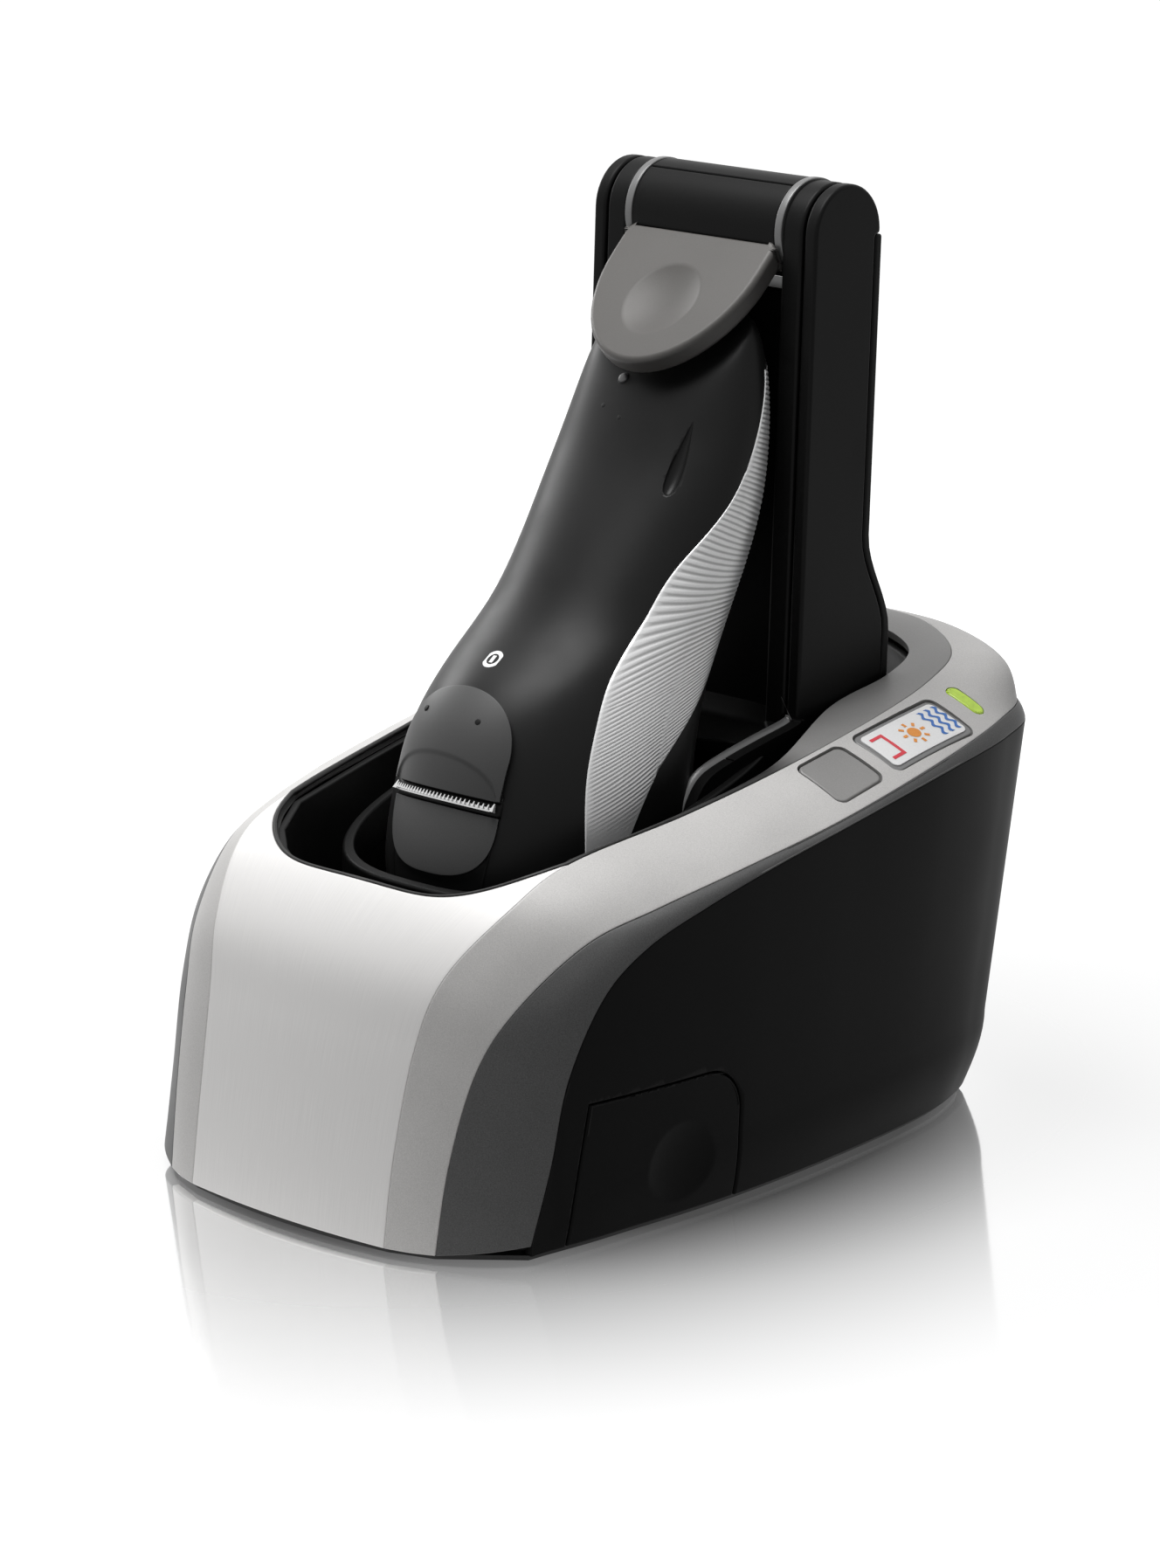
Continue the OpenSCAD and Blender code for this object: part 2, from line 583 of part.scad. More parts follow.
// ==== lift drive ====
PRESSURE = 20;
RACK_END = -160;
RACK_T = 3.4;
PINION_Z = -150;        // height of the pinion on the tower
GEAR_X = 6;             // the motor gears start here
SHAFT_IN = 9;           // ends of the pinion shaft
SHAFT_OUT = 14.5;
BEARING_T = 3;
DRIVE_ANGLE = -60;      // direction from the pinion to the motor gear
MOTOR_X = 12;
pinion_r = rack_m * pinion_n / 2;
pinion_y = HOLD_BACK + 1.25 * rack_m + pinion_r;
reduction_r = gear_m * reduction_n / 2;
motor_r = gear_m * motor_n / 2;
motor_y = pinion_y + (reduction_r + motor_r) * cos(DRIVE_ANGLE);
motor_z = PINION_Z + (reduction_r + motor_r) * sin(DRIVE_ANGLE);

// angle of an involute flank at radius r, base circle rb
function inv_angle(r, rb) = let (t = sqrt(max(r * r / (rb * rb) - 1, 0))) t * 180 / PI - atan(t);
module gear(m, n) {
    rp = m * n / 2;
    rb = rp * cos(PRESSURE);
    ra = rp + 0.95 * m;
    rf = rp - 1.25 * m;
    half = 90 / n - backlash / 4 / rp * 180 / PI + inv_angle(rp, rb);
    radii = [for (i = [0 : 5]) lerp(max(rb, rf), ra, i / 5)];
    polygon([for (k = [0 : n - 1]) let (mid = 360 * k / n) each concat(
        [[rf * cos(mid - half), rf * sin(mid - half)]],
        [for (r = radii) let (a = mid - half + inv_angle(r, rb)) [r * cos(a), r * sin(a)]],
        [for (r = turned(radii)) let (a = mid + half - inv_angle(r, rb)) [r * cos(a), r * sin(a)]],
        [[rf * cos(mid + half), rf * sin(mid + half)]])]);
}

module lift_rack() color("dimgray") on_tower() {
    pitch = PI * rack_m;
    run = tan(PRESSURE);
    half = pitch / 4 - backlash / 4;
    translate([-rack_w / 2, HOLD_BACK - RACK_T, RACK_END]) cube([rack_w, RACK_T, HOLD_END - RACK_END]);
    for (k = [-3 : 8]) across_tower(-rack_w / 2, rack_w / 2) translate([HOLD_BACK,
        PINION_Z + (k + 0.5) * pitch])
        polygon([[-0.1, -half - 1.35 * rack_m * run], [2.2 * rack_m, -half + 0.95 * rack_m * run],
                 [2.2 * rack_m, half - 0.95 * rack_m * run], [-0.1, half + 1.35 * rack_m * run]]);
}

module drive_pinion() color("ivory") on_tower() translate([0, pinion_y, PINION_Z]) rotate([90, 0, 90]) {
    translate([0, 0, -rack_w / 2]) linear_extrude(rack_w) rotate(180) gear(rack_m, pinion_n);
    translate([0, 0, rack_w / 2 - 0.1]) cylinder(h = GEAR_X - rack_w / 2 + 0.2,
        r = pinion_r - 2 * rack_m, $fn = 48);
    translate([0, 0, GEAR_X]) linear_extrude(gear_w) rotate(DRIVE_ANGLE) gear(gear_m, reduction_n);
    translate([0, 0, -SHAFT_IN]) cylinder(h = SHAFT_IN + SHAFT_OUT, r = shaft_d / 2, $fn = 48);
}

module motor_gear() color("ivory") on_tower() translate([0, motor_y, motor_z]) rotate([90, 0, 90]) {
    translate([0, 0, GEAR_X]) linear_extrude(gear_w) rotate(DRIVE_ANGLE + 180 + 180 / motor_n)
        gear(gear_m, motor_n);
    translate([0, 0, GEAR_X + gear_w - 0.1]) cylinder(h = MOTOR_X - GEAR_X - gear_w, r = 1, $fn = 32);
}

module lift_motor() color("silver") on_floor() on_tower() translate([MOTOR_X, motor_y, motor_z])
    rotate([90, 0, 90]) {
    cylinder(h = motor_l, r = motor_d / 2, $fn = 64);
    translate([0, 0, motor_l - 0.1]) cylinder(h = 2, r = 3, $fn = 32);
}

BEARING_R = 5.5;
module gear_bracket() color("gray") on_floor() on_tower() {
    for (x = [-SHAFT_IN, SHAFT_OUT - BEARING_T]) across_tower(x, x + BEARING_T) difference() {
        union() {
            translate([pinion_y, PINION_Z]) circle(BEARING_R, $fn = 48);
            polygon([[pinion_y - BEARING_R, PINION_Z], [pinion_y, PINION_Z - BEARING_R],
                     [pinion_y - 2.5, PINION_Z - 16], [pinion_y - 2.5, tower_foot],
                         [pinion_y - 6.5, tower_foot]]);
        }
        translate([pinion_y, PINION_Z]) circle(shaft_d / 2 + run_gap, $fn = 48);
    }
    for (x = [MOTOR_X + 5, MOTOR_X + motor_l - 8]) across_tower(x, x + 3) difference() {
        translate([motor_y - 7, tower_foot]) square([14, motor_z - 2 - tower_foot]);
        translate([motor_y, motor_z]) circle(motor_d / 2, $fn = 64);
    }
}

// ==== base ====
// outline of the housing's inner face near the table
function wall_point(u, z, inset) =
    let (a = rail_at(FLOOR, u), b = rail_at(BELT, u), w = (z - a.z) / (b.z - a.z),
         f = flare(FLARE[5]) * w / FLARE[5], p = [lerp(a.x, b.x, f), lerp(a.y, b.y, f), z])
    p + inset * inward(p);
function wall_ring(z, inset) = concat(
    [for (k = [0 : ROWS]) wall_point(k / ROWS, z, inset)],
    [for (k = [ROWS - 1 : -1 : 0]) flip(wall_point(k / ROWS, z, inset))]);
module footprint(inset) {
    corner = rail_at(FRAME, 0) + inset * inward(rail_at(FRAME, 0));
    polygon([
        for (t = [-FRONT_COLS : FRONT_COLS]) let (p = panel_point(0, t / FRONT_COLS)) [p.x,
            p.y + inset],
        [corner.x, corner.y],
        for (p = wall_ring(plinth_h, inset)) [p.x, p.y],
        [-corner.x, corner.y]]);
}

TUB_FRONT = 16.3 - body_l / 2;
tub_rear = TUB_FRONT + tub_l;
FLOOR_T = 2;
FLOOR_START = tub_rear + 4;    // front edge of the station's floor
module station_floor() color("black") difference() {
    translate([0, 0, BASE_TOP - FLOOR_T]) linear_extrude(FLOOR_T) intersection() {
        polygon([for (p = wall_ring(BASE_TOP - FLOOR_T, wall)) [p.x, p.y]]);
        translate([-80, FLOOR_START]) square([160, 100]);
    }
    at_screws(0) cylinder(h = 10, r = SCREW_R, $fn = 32);
}

module base_screws() color("silver") at_screws(BASE_TOP - FLOOR_T) {
    cylinder(h = FLOOR_T + SCREW_L, r = SCREW_R, $fn = 32);
    translate([0, 0, -0.6]) cylinder(h = 0.6, r = 2.8, $fn = 32);
}

SOCKET_BACK = 12;       // depth of the mains socket
module mains_socket() color("black") difference() {
    y = body_l / 2 * 0.889;
    union() {
        translate([-SOCKET_W / 2 - 2, y - SOCKET_BACK, BASE_TOP])
            cube([SOCKET_W + 4, SOCKET_BACK - 1.4, SOCKET_Z + SOCKET_H / 2 + 2 - BASE_TOP]);
        translate([-SOCKET_W / 2 + 0.1, y - 2, SOCKET_Z - SOCKET_H / 2 + 0.1])
            cube([SOCKET_W - 0.2, 5.6, SOCKET_H - 0.2]);
    }
    translate([-SOCKET_W / 2 + 1.4, y - SOCKET_BACK + 4, SOCKET_Z - SOCKET_H / 2 + 1.4])
        cube([SOCKET_W - 2.8, 20, SOCKET_H - 2.8]);
}
module socket_pins() color("silver") for (x = [-2.2, 2.2])
    translate([x, body_l / 2 * 0.889 - SOCKET_BACK + 4, SOCKET_Z]) rotate([-90, 0, 0])
        cylinder(h = 7, r = 0.8, $fn = 32);

BASE_BOTTOM = 0.8;
PLATE_TOP = 1.8;        // upper face of the base plate
STEP_TOP = 3.2;         // upper face of the step inside the shells
STEP_PLAY = 0.5;        // its clearance from a release button that is pressed in
TUB_R = 20;
FEET = [for (y = [-0.33, 0.31]) for (x = [0.29, -0.29]) [x * body_w, y * body_l]];
module tub_outline(grow) {
    w = tub_w / 2 + grow;
    r = TUB_R + grow;
    for (side = [-1, 1]) for (y = [TUB_FRONT + TUB_R, tub_rear - TUB_R])
        translate([side * (w - r), y]) circle(r, $fn = 64);
    translate([-w, TUB_FRONT + TUB_R]) square([2 * w, tub_l - 2 * TUB_R]);
    translate([-w + r, TUB_FRONT - grow]) square([2 * (w - r), tub_l + 2 * grow]);
}
module chamber() color("darkslategray") difference() {
    union() {
        translate([0, 0, BASE_BOTTOM]) linear_extrude(PLATE_TOP - BASE_BOTTOM) footprint(plinth_inset);
        translate([0, 0, PLATE_TOP - 0.1]) linear_extrude(STEP_TOP - PLATE_TOP + 0.1)
            footprint(wall + release_travel + STEP_PLAY);
        translate([0, 0, STEP_TOP - 0.5]) linear_extrude(tub_h - STEP_TOP + 0.5) tub_outline(0);
    }
    translate([0, 0, STEP_TOP]) linear_extrude(tub_h) tub_outline(-tub_t);
    for (p = FEET) translate([p.x, p.y, 0]) cylinder(h = foot_h, r = foot_d / 2, $fn = 48);
}
module feet() color("black") for (p = FEET) translate([p.x, p.y, 0]) cylinder(h = foot_h,
    r = foot_d / 2, $fn = 48);

SEAL_T = 1.8;
SEAL_W = 4;             // least width of the seal on the tub's rim
module splash_seal() color("black") translate([0, 0, tub_h + 2 - SEAL_T]) linear_extrude(SEAL_T)
    difference() {
    tub_outline(0);
    intersection() {
        tub_outline(-SEAL_W);
        polygon([for (pair = LOOP) let (p = low(pair[0], 0)) if (p.y < tub_rear + SEAL_W)
            [p.x * 0.985, p.y * 0.985]]);
    }
}

// ==== shaver ====
// front y and z, rear y and z, all from the cap hinge, and half width, from the head to the grip's end
SECTIONS = [
    [-86, -147.8, -50, -145.8, 0.68 * head_half_w], [-95, -139.8, -42, -136.8, 0.954 * head_half_w],
    [-96.5, -127.8, -39, -124.8, head_half_w], [-92.5, -110.8, -37, -107.8, 0.954 * head_half_w],
    [-89, -98.8, -32.5, -93.8, 0.877 * head_half_w], [-79, -88.3, -26, -80.8, 1.01 * grip_half_w],
    [-66.6, -80.8, -20.5, -68.8, 0.99 * grip_half_w], [-57, -69.8, -16, -56.3, grip_half_w],
    [-49, -59.8, -14, -44.3, grip_half_w], [-40, -48.3, -13.4, -32.3, 0.96 * grip_half_w],
    [-34.5, -38.8, -13.2, -21.8, 0.885 * grip_half_w], [-30.5, -32.3, -13.4, -15.3, 0.79 * grip_half_w],
    [-28, -29.8, -14.5, -16.3, 0.65 * grip_half_w]];
SHAVER_ROWS = 36;
PEAK = 0.6;             // the widest place of a section, as a share of its depth
REAR_POWER = 2.6;
// section v at angle w, 0 in front, 90 on the right
function shaver_point(v, w) =
    let (s = spline(SECTIONS, v), c = cos(w), q = abs(sin(w)),
         t = c >= 0 ? PEAK * (1 - c) : PEAK + (1 - PEAK) * pow(-c, 2 / REAR_POWER),
         x = c >= 0 ? q : pow(q, 2 / REAR_POWER))
    [sign(sin(w)) * s[4] * x, axis_y + lerp(s[0], s[2], t), axis_z + lerp(s[1], s[3], t)];
// angle at which a section's depth share is c
function share_angle(c) = c < PEAK ? acos(1 - c / PEAK) : 90 +
    asin(pow(min((c - PEAK) / (1 - PEAK), 1), REAR_POWER / 2));
// closed body over rings of points
module loft(rings) {
    n = len(rings[0]);
    last = len(rings) - 1;
    polyhedron([for (ring = rings) for (p = ring) p], concat(
        [for (i = [0 : last - 1]) for (j = [0 : n - 1]) let (k = (j + 1) % n) each [
            [i * n + j, i * n + n + j, i * n + n + k], [i * n + j, i * n + n + k, i * n + k]]],
        [[for (j = [0 : n - 1]) j], [for (j = [n - 1 : -1 : 0]) last * n + j]]), convexity = 6);
}
module shaver_skin() loft([for (i = [0 : SHAVER_ROWS]) [for (j = [0 : FACE_TURN - 1])
    shaver_point(i / SHAVER_ROWS, 360 * j / FACE_TURN)]]);

// depth shares between which the silver side panels lie, from section 1 to section 10
PANEL_FRONT = [0.3, 0.28, 0.26, 0.26, 0.24, 0.24, 0.28, 0.54, 0.7, 0.8];
PANEL_REAR = [0.52, 0.6, 0.71, 0.86, 0.93, 0.94, 0.94, 0.94, 0.93, 0.86];
PANEL_PLAY = 0.2;
function side_grid(trim, grow) = [for (i = [0 : 27]) let (
        u = i / 27,
        v = (1 + 9 * lerp(trim / 8, 1 - trim / 8, u)) / 12,
        a = share_angle(spline(PANEL_FRONT, u) + trim / 50),
        b = share_angle(spline(PANEL_REAR, u) - trim / 50))
    [for (j = [0 : 6]) shaver_point(v, lerp(a, b, j / 6)) + [grow, 0, 0]]];
module side_panel(trim, grow, sink) shell(side_grid(trim, grow),
    function(p) [-inlay_t - grow - sink, 0, 0]);
module shaver_side_panels() color("silver") for (side = [0, 1]) mirror([side, 0, 0])
    side_panel(0.2, 0, 0);

module shaver_body() color("dimgray") difference() {
    shaver_skin();
    for (side = [0, 1]) mirror([side, 0, 0]) side_panel(0, 1, PANEL_PLAY);
}

// the head's front face near the trimmer, z up along it
FACE_TILT = 31;
FACE_V = 3 / 12;        // the section level with the trimmer blade
function face_point(v, x, lift) =
    let (s = spline(SECTIONS, v))
    shaver_point(v, asin(clamp(x / s[4], -1, 1))) + lift * [0, -cos(FACE_TILT), sin(FACE_TILT)];
ARCH_W = 17.5;
ARCH_V = 2.3 / 12;
TRIM_GAP = 0.35;
function arch(x) = 0.45 + 0.55 * sqrt(max(1 - x * x, 0));
module trimmer_housing() color("dimgray")
    shell([for (i = [0 : 8]) [for (j = [-6 : 6]) let (x = sin(15 * j))
               face_point(FACE_V + ARCH_V * arch(x) * i / 8, ARCH_W * x,
                   TRIM_GAP + trimmer_t * (1 - 0.25 * pow(abs(x), 4)))]],
          function(p) -(trimmer_t * 0.75) * [0, -cos(FACE_TILT), sin(FACE_TILT)]);

TEETH = 16;
module trimmer_blade() color("silver") {
    shell([for (v = [-0.012, -0.002]) [for (j = [-6 : 6]) face_point(FACE_V + v,
        blade_w / 2 * j / 6, TRIM_GAP + 1.6)]],
          function(p) -1.1 * [0, -cos(FACE_TILT), sin(FACE_TILT)]);
    for (k = [0 : TEETH - 1]) {
        x = blade_w * ((k + 0.5) / TEETH - 0.5);
        translate(face_point(FACE_V - 0.012, x, TRIM_GAP + 0.5)) rotate([-FACE_TILT, 0, 0])
            translate([-0.5, -1, -1.2]) cube([1, 0.9, 1.5]);
    }
}

module head_cover() color("dimgray")
    shell([for (i = [0 : 8]) [for (j = [-6 : 6]) let (x = sin(15 * j),
        drop = 0.125 * sqrt(max(1 - x * x, 0)) + 0.004)
               face_point(FACE_V - 0.03 - drop * (1 - i / 8), 18 * x, 1.1)]],
          function(p) -0.8 * [0, -cos(FACE_TILT), sin(FACE_TILT)]);

UNIT_R = 10.5;
UNIT_TOP = 147.85;      // the shaving units start this far under the cap hinge
module shaving_units() color("silver") for (p = [[-11.5, -76], [11.5, -76], [0, -58]])
    translate([p.x, axis_y + p.y + 1, axis_z - UNIT_TOP]) rotate([180, 0, 0]) {
        cylinder(h = 4, r = UNIT_R, $fn = 48);
        translate([0, 0, 3.9]) cylinder(h = 1.4, r = UNIT_R - 2.5, $fn = 48);
    }

front_panel();
top_frame();
corner_trim();
housing();
inner_rim();
pocket_liner();
on_off_button();
display_window();
charge_light();
circuit_board();
button_switch();
display_leds();
release_button_right();
release_button_left();
tower_frame();
tower_cover();
station_floor();
base_screws();
gear_bracket();
lift_motor();
mains_socket();
socket_pins();
splash_seal();
holder();
head_ring();
shaver_rest();
lift_rack();
hinge_rings();
hinge_pin();
cap_barrel();
cap();
contact_block();
contact_pins();
drive_pinion();
motor_gear();
chamber();
feet();
shaver_body();
shaver_side_panels();
head_cover();
shaving_units();
trimmer_housing();
trimmer_blade();
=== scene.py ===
# %% [markdown]
# # A shaver cleaning station
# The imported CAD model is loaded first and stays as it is: it is the frame that every piece is fitted to.
# Its outer skins are swept between a few guide rails, so the same rails are used here to make them again
# with many more faces, thin gaps and softly broken edges. Everything is in metres, +Z up, front to -Y.

# %% Load the frame
import bpy
import bmesh
import json
import math
from mathutils import Matrix, Vector


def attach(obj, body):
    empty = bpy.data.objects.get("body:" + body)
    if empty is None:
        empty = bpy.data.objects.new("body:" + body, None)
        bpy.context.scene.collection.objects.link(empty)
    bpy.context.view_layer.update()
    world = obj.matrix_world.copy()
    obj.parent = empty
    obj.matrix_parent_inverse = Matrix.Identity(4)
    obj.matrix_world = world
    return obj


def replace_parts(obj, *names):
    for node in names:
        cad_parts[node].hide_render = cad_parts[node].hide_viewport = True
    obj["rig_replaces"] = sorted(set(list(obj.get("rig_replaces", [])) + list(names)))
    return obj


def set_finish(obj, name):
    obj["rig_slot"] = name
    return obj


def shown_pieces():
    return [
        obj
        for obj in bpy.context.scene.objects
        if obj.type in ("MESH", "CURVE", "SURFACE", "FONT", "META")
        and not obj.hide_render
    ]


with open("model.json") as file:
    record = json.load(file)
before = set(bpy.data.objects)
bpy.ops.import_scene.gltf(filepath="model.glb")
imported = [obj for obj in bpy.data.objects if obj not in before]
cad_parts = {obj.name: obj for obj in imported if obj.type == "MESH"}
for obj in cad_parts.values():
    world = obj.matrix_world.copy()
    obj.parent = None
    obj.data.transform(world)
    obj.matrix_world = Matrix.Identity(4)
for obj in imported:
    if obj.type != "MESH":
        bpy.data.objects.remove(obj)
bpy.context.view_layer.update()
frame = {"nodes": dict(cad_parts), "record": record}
nodes = frame["nodes"]

# %% [markdown]
# ## Camera
# The station was photographed from its front right, slightly from above, with a long lens. The view is set by
# the point the camera looks at, its distance, and its azimuth and elevation.

# %% Camera
AZIMUTH = math.radians(43.2)
ELEVATION = math.radians(15.25)
AIM = Vector((-0.057432, 0.058, 0.054047))
DISTANCE = 1.2144
IMAGE_HEIGHT, FOCAL_LENGTH = 1795, 6000      # in pixels of the photograph
back = Vector((math.sin(AZIMUTH) * math.cos(ELEVATION), -math.cos(AZIMUTH) * math.cos(ELEVATION),
               math.sin(ELEVATION)))
lens_data = bpy.data.cameras.new("camera")
lens_data.sensor_width = 36.0
lens_data.lens = FOCAL_LENGTH / IMAGE_HEIGHT * lens_data.sensor_width
lens_data.clip_start = 0.05
camera = bpy.data.objects.new("camera", lens_data)
bpy.context.scene.collection.objects.link(camera)
camera.location = AIM + back * DISTANCE
camera.rotation_euler = (-back).to_track_quat("-Z", "Y").to_euler()
bpy.context.scene.camera = camera
print("camera at", [round(v, 4) for v in camera.location])

# %% [markdown]
# ## Guide rails
# A rail is a smooth curve through a handful of points. Each point is written as shares of half the width, half
# the length and the height, so the whole station keeps its shape if its size changes. The rails run from the
# floor in front, up over the shoulder and back along the right side to the middle of the rear. The left side
# mirrors them.

# %% Rails
WIDTH, LENGTH, HEIGHT, GAP = 0.130, 0.189, 0.101, 0.002


def rail(shares):
    return [Vector((x * WIDTH / 2, y * LENGTH / 2, GAP + z * (HEIGHT - GAP))) for x, y, z in shares]


CREST = rail([
    (0.44, -0.974, 0), (0.443, -0.945, 0.182), (0.465, -0.894, 0.409), (0.517, -0.836, 0.561),
    (0.609, -0.7, 0.69), (0.632, -0.53, 0.758), (0.695, -0.2, 0.808), (0.723, 0.106, 0.857),
    (0.705, 0.444, 0.909), (0.654, 0.667, 0.943), (0.562, 0.82, 0.973), (0.308, 0.929, 0.996), (0, 0.947, 1)])
FRAME = rail([
    (0.606, -0.931, 0), (0.622, -0.898, 0.192), (0.662, -0.84, 0.384), (0.731, -0.762, 0.51),
    (0.82, -0.61, 0.628), (0.889, -0.435, 0.678), (0.945, -0.2, 0.724), (0.974, 0.106, 0.773),
    (0.969, 0.444, 0.835), (0.892, 0.72, 0.869), (0.762, 0.889, 0.879), (0.431, 0.98, 0.886), (0, 0.99, 0.889)])
BELT = rail([
    (0.831, -0.794, 0.022), (0.846, -0.742, 0.185), (0.866, -0.702, 0.364), (0.898, -0.614, 0.525),
    (0.931, -0.5, 0.612), (0.962, -0.34, 0.667), (0.987, -0.14, 0.716), (1, 0.127, 0.764),
    (0.994, 0.455, 0.815), (0.917, 0.73, 0.833), (0.782, 0.903, 0.84), (0.443, 0.99, 0.844), (0, 1, 0.848)])
FLOOR = rail([
    (0.831, -0.794, 0), (0.84, -0.742, 0), (0.849, -0.7, 0), (0.866, -0.614, 0),
    (0.88, -0.5, 0), (0.9, -0.34, 0), (0.912, -0.14, 0), (0.902, 0.127, 0),
    (0.862, 0.44, 0), (0.8, 0.64, 0), (0.669, 0.799, 0), (0.377, 0.88, 0), (0, 0.889, 0)])
LIP = rail([
    (0.606, -0.529, 0.757), (0.672, -0.2, 0.807), (0.68, 0.09, 0.856), (0.515, 0.42, 0.908),
    (0.508, 0.625, 0.943), (0.44, 0.765, 0.97), (0.23, 0.845, 0.985), (0, 0.865, 0.987)])
SEAM = 5 / 12           # share of a rail that lies on the front panel's edge
PANEL_CROWN = 0.0025    # how far the middle of the front panel bulges
WAIST, WAIST_HEIGHT = 0.53, 0.45     # shares of the half length and the height that walls face towards


def flip(p):
    return Vector((-p.x, p.y, p.z))


def clamp(x, low, high):
    return min(max(x, low), high)


def curve(a, b, c, d, t):
    """Smooth curve from b to c at share t, between their neighbours a and d."""
    return 0.5 * (2 * b + (c - a) * t + (2 * a - 5 * b + 4 * c - d) * t * t + (3 * b - a - 3 * c + d) * t ** 3)


def rail_at(points, u):
    """Point of a rail at share u; past 1 it goes on along the left side, back to the front."""
    if u > 1:
        return flip(rail_at(points, 2 - u))
    n = len(points) - 1
    s = clamp(u, 0, 1) * n
    i = min(int(s), n - 1)
    after = flip(points[n - 1]) if i + 2 > n else points[i + 2]
    return curve(points[max(i - 1, 0)], points[i], points[i + 1], after, s - i)


def inward(p):
    """Direction from a wall's point towards the middle of the station."""
    aim = Vector((0, clamp(p.y, -WAIST * LENGTH / 2, WAIST * LENGTH / 2), min(p.z, WAIST_HEIGHT * HEIGHT)))
    return (aim - p).normalized()


def panel_point(s, t):
    """Point of the front panel: s from the floor up to the pocket, t from left to right."""
    u = s * (0.76 + 0.24 * abs(t) ** 5) * SEAM
    a, b, c = rail_at(CREST, u), rail_at(CREST, u + 0.01), rail_at(CREST, max(u - 0.01, 0))
    along = Vector((0, b.y - c.y, b.z - c.z)).normalized()
    return Vector((t * a.x, a.y, a.z)) + Vector((0, -along.z, along.y)) * PANEL_CROWN * (1 - t * t)


print("front panel top", [round(v, 4) for v in panel_point(1, 0)])

# %% [markdown]
# ## Helpers for meshes
# Each swept skin starts as a flat grid from bmesh, whose points are then laid on the surface. A Solidify
# modifier gives it the wall of the moulding, and a small bevel breaks its edges, which is what makes the joint
# lines between real mouldings catch light.

# %% Grid, wall and edge helpers
WALL = 0.0022


def link(name, bm):
    mesh = bpy.data.meshes.new(name)
    bm.to_mesh(mesh)
    bm.free()
    piece = bpy.data.objects.new(name, mesh)
    bpy.context.scene.collection.objects.link(piece)
    for face in mesh.polygons:
        face.use_smooth = True
    return piece


def grid_on(surface, across, along, ring=False):
    """A grid of faces laid on surface(u, v), with u and v from 0 to 1; its normals follow du x dv."""
    bm = bmesh.new()
    bmesh.ops.create_grid(bm, x_segments=across, y_segments=along, size=0.5)
    shares = bm.loops.layers.uv.new("shares")
    for face in bm.faces:
        for loop in face.loops:
            loop[shares].uv = (loop.vert.co.x + 0.5, loop.vert.co.y + 0.5)
    for vert in bm.verts:
        vert.co = surface(vert.co.x + 0.5, vert.co.y + 0.5)
    if ring:
        bmesh.ops.remove_doubles(bm, verts=bm.verts, dist=1e-6)
    return bm


def soften(piece, width, segments=3, angle=35):
    bevel = piece.modifiers.new("broken edges", "BEVEL")
    bevel.width = width
    bevel.segments = segments
    bevel.limit_method = "ANGLE"
    bevel.angle_limit = math.radians(angle)
    bevel.use_clamp_overlap = False
    bevel.miter_outer = "MITER_ARC"
    normals = piece.modifiers.new("even shading", "WEIGHTED_NORMAL")
    normals.keep_sharp = True
    return piece


def skin(name, surface, across, along, wall=WALL, edge=0.0003, ring=False):
    piece = link(name, grid_on(surface, across, along, ring))
    shell = piece.modifiers.new("wall", "SOLIDIFY")
    shell.thickness = wall
    shell.offset = -1
    return soften(piece, edge)


def apply_modifiers(piece):
    """Turns a piece's modifiers into its mesh."""
    graph = bpy.context.evaluated_depsgraph_get()
    done = bpy.data.meshes.new_from_object(piece.evaluated_get(graph), depsgraph=graph)
    piece.modifiers.clear()
    piece.data = done


def cut(piece, cutter):
    """Takes the cutter's shape out of the piece, and deletes the cutter."""
    boolean = piece.modifiers.new("cut", "BOOLEAN")
    boolean.object = cutter
    boolean.solver = "EXACT"
    apply_modifiers(piece)
    bpy.data.objects.remove(cutter)


def merged_copy(node):
    """A copy of a CAD node as a clean mesh: doubles merged, flat faces joined."""
    bm = bmesh.new()
    bm.from_mesh(nodes[node].data)
    bmesh.ops.remove_doubles(bm, verts=bm.verts, dist=2e-6)
    bmesh.ops.dissolve_limit(bm, angle_limit=math.radians(1), verts=bm.verts, edges=bm.edges)
    return link(node + "_piece", bm)


def carried(piece, body, slot):
    """Makes an added piece ride with a body and take a material slot."""
    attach(piece, body)
    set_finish(piece, slot)
    return piece


def stand_for(piece, *replaced):
    """Makes the piece ride with the node's body, take its material slot and stand in its place."""
    carried(piece, BODY_OF[replaced[0]], SLOT_OF[replaced[0]])
    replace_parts(piece, *replaced)
    return piece


BODY_OF = {n: b for b, names in frame["record"]["behaviour"]["bodies"].items() for n in names}
SLOT_OF = {part["node"]: part["material_slot"] for part in frame["record"]["subparts"]}

# %% [markdown]
# ## The casing
# On the real station the silver front panel, the silver top frame, the charcoal corner trim and the black
# housing are separate mouldings that meet at thin lines. Each one is a strip between two neighbouring rails,
# slightly bowed outwards, so it is made as a grid between the same two rails. The controls sit in openings of
# the top frame's right band, which are cut afterwards.

# %% Strips between rails
def strip_point(inner, outer, share, u, bow):
    a, b = rail_at(inner, u), rail_at(outer, u)
    return a.lerp(b, share) - inward(a.lerp(b, 0.5)) * (b - a).length * bow * math.sin(math.pi * share)


def ease(x):
    t = clamp(x, 0, 1)
    return t * t * (3 - 2 * t)


def frame_point(share, u):
    """The frame's band is nearly flat beside the controls and rounds over at the rear."""
    turn = min(u, 2 - u)
    return strip_point(CREST, FRAME, share, u, 0.04 + 0.26 * ease((turn - 0.73) / 0.11))


TUCK_H, TUCK = 0.2, 0.37     # height and depth of the housing's tuck at the floor, as shares


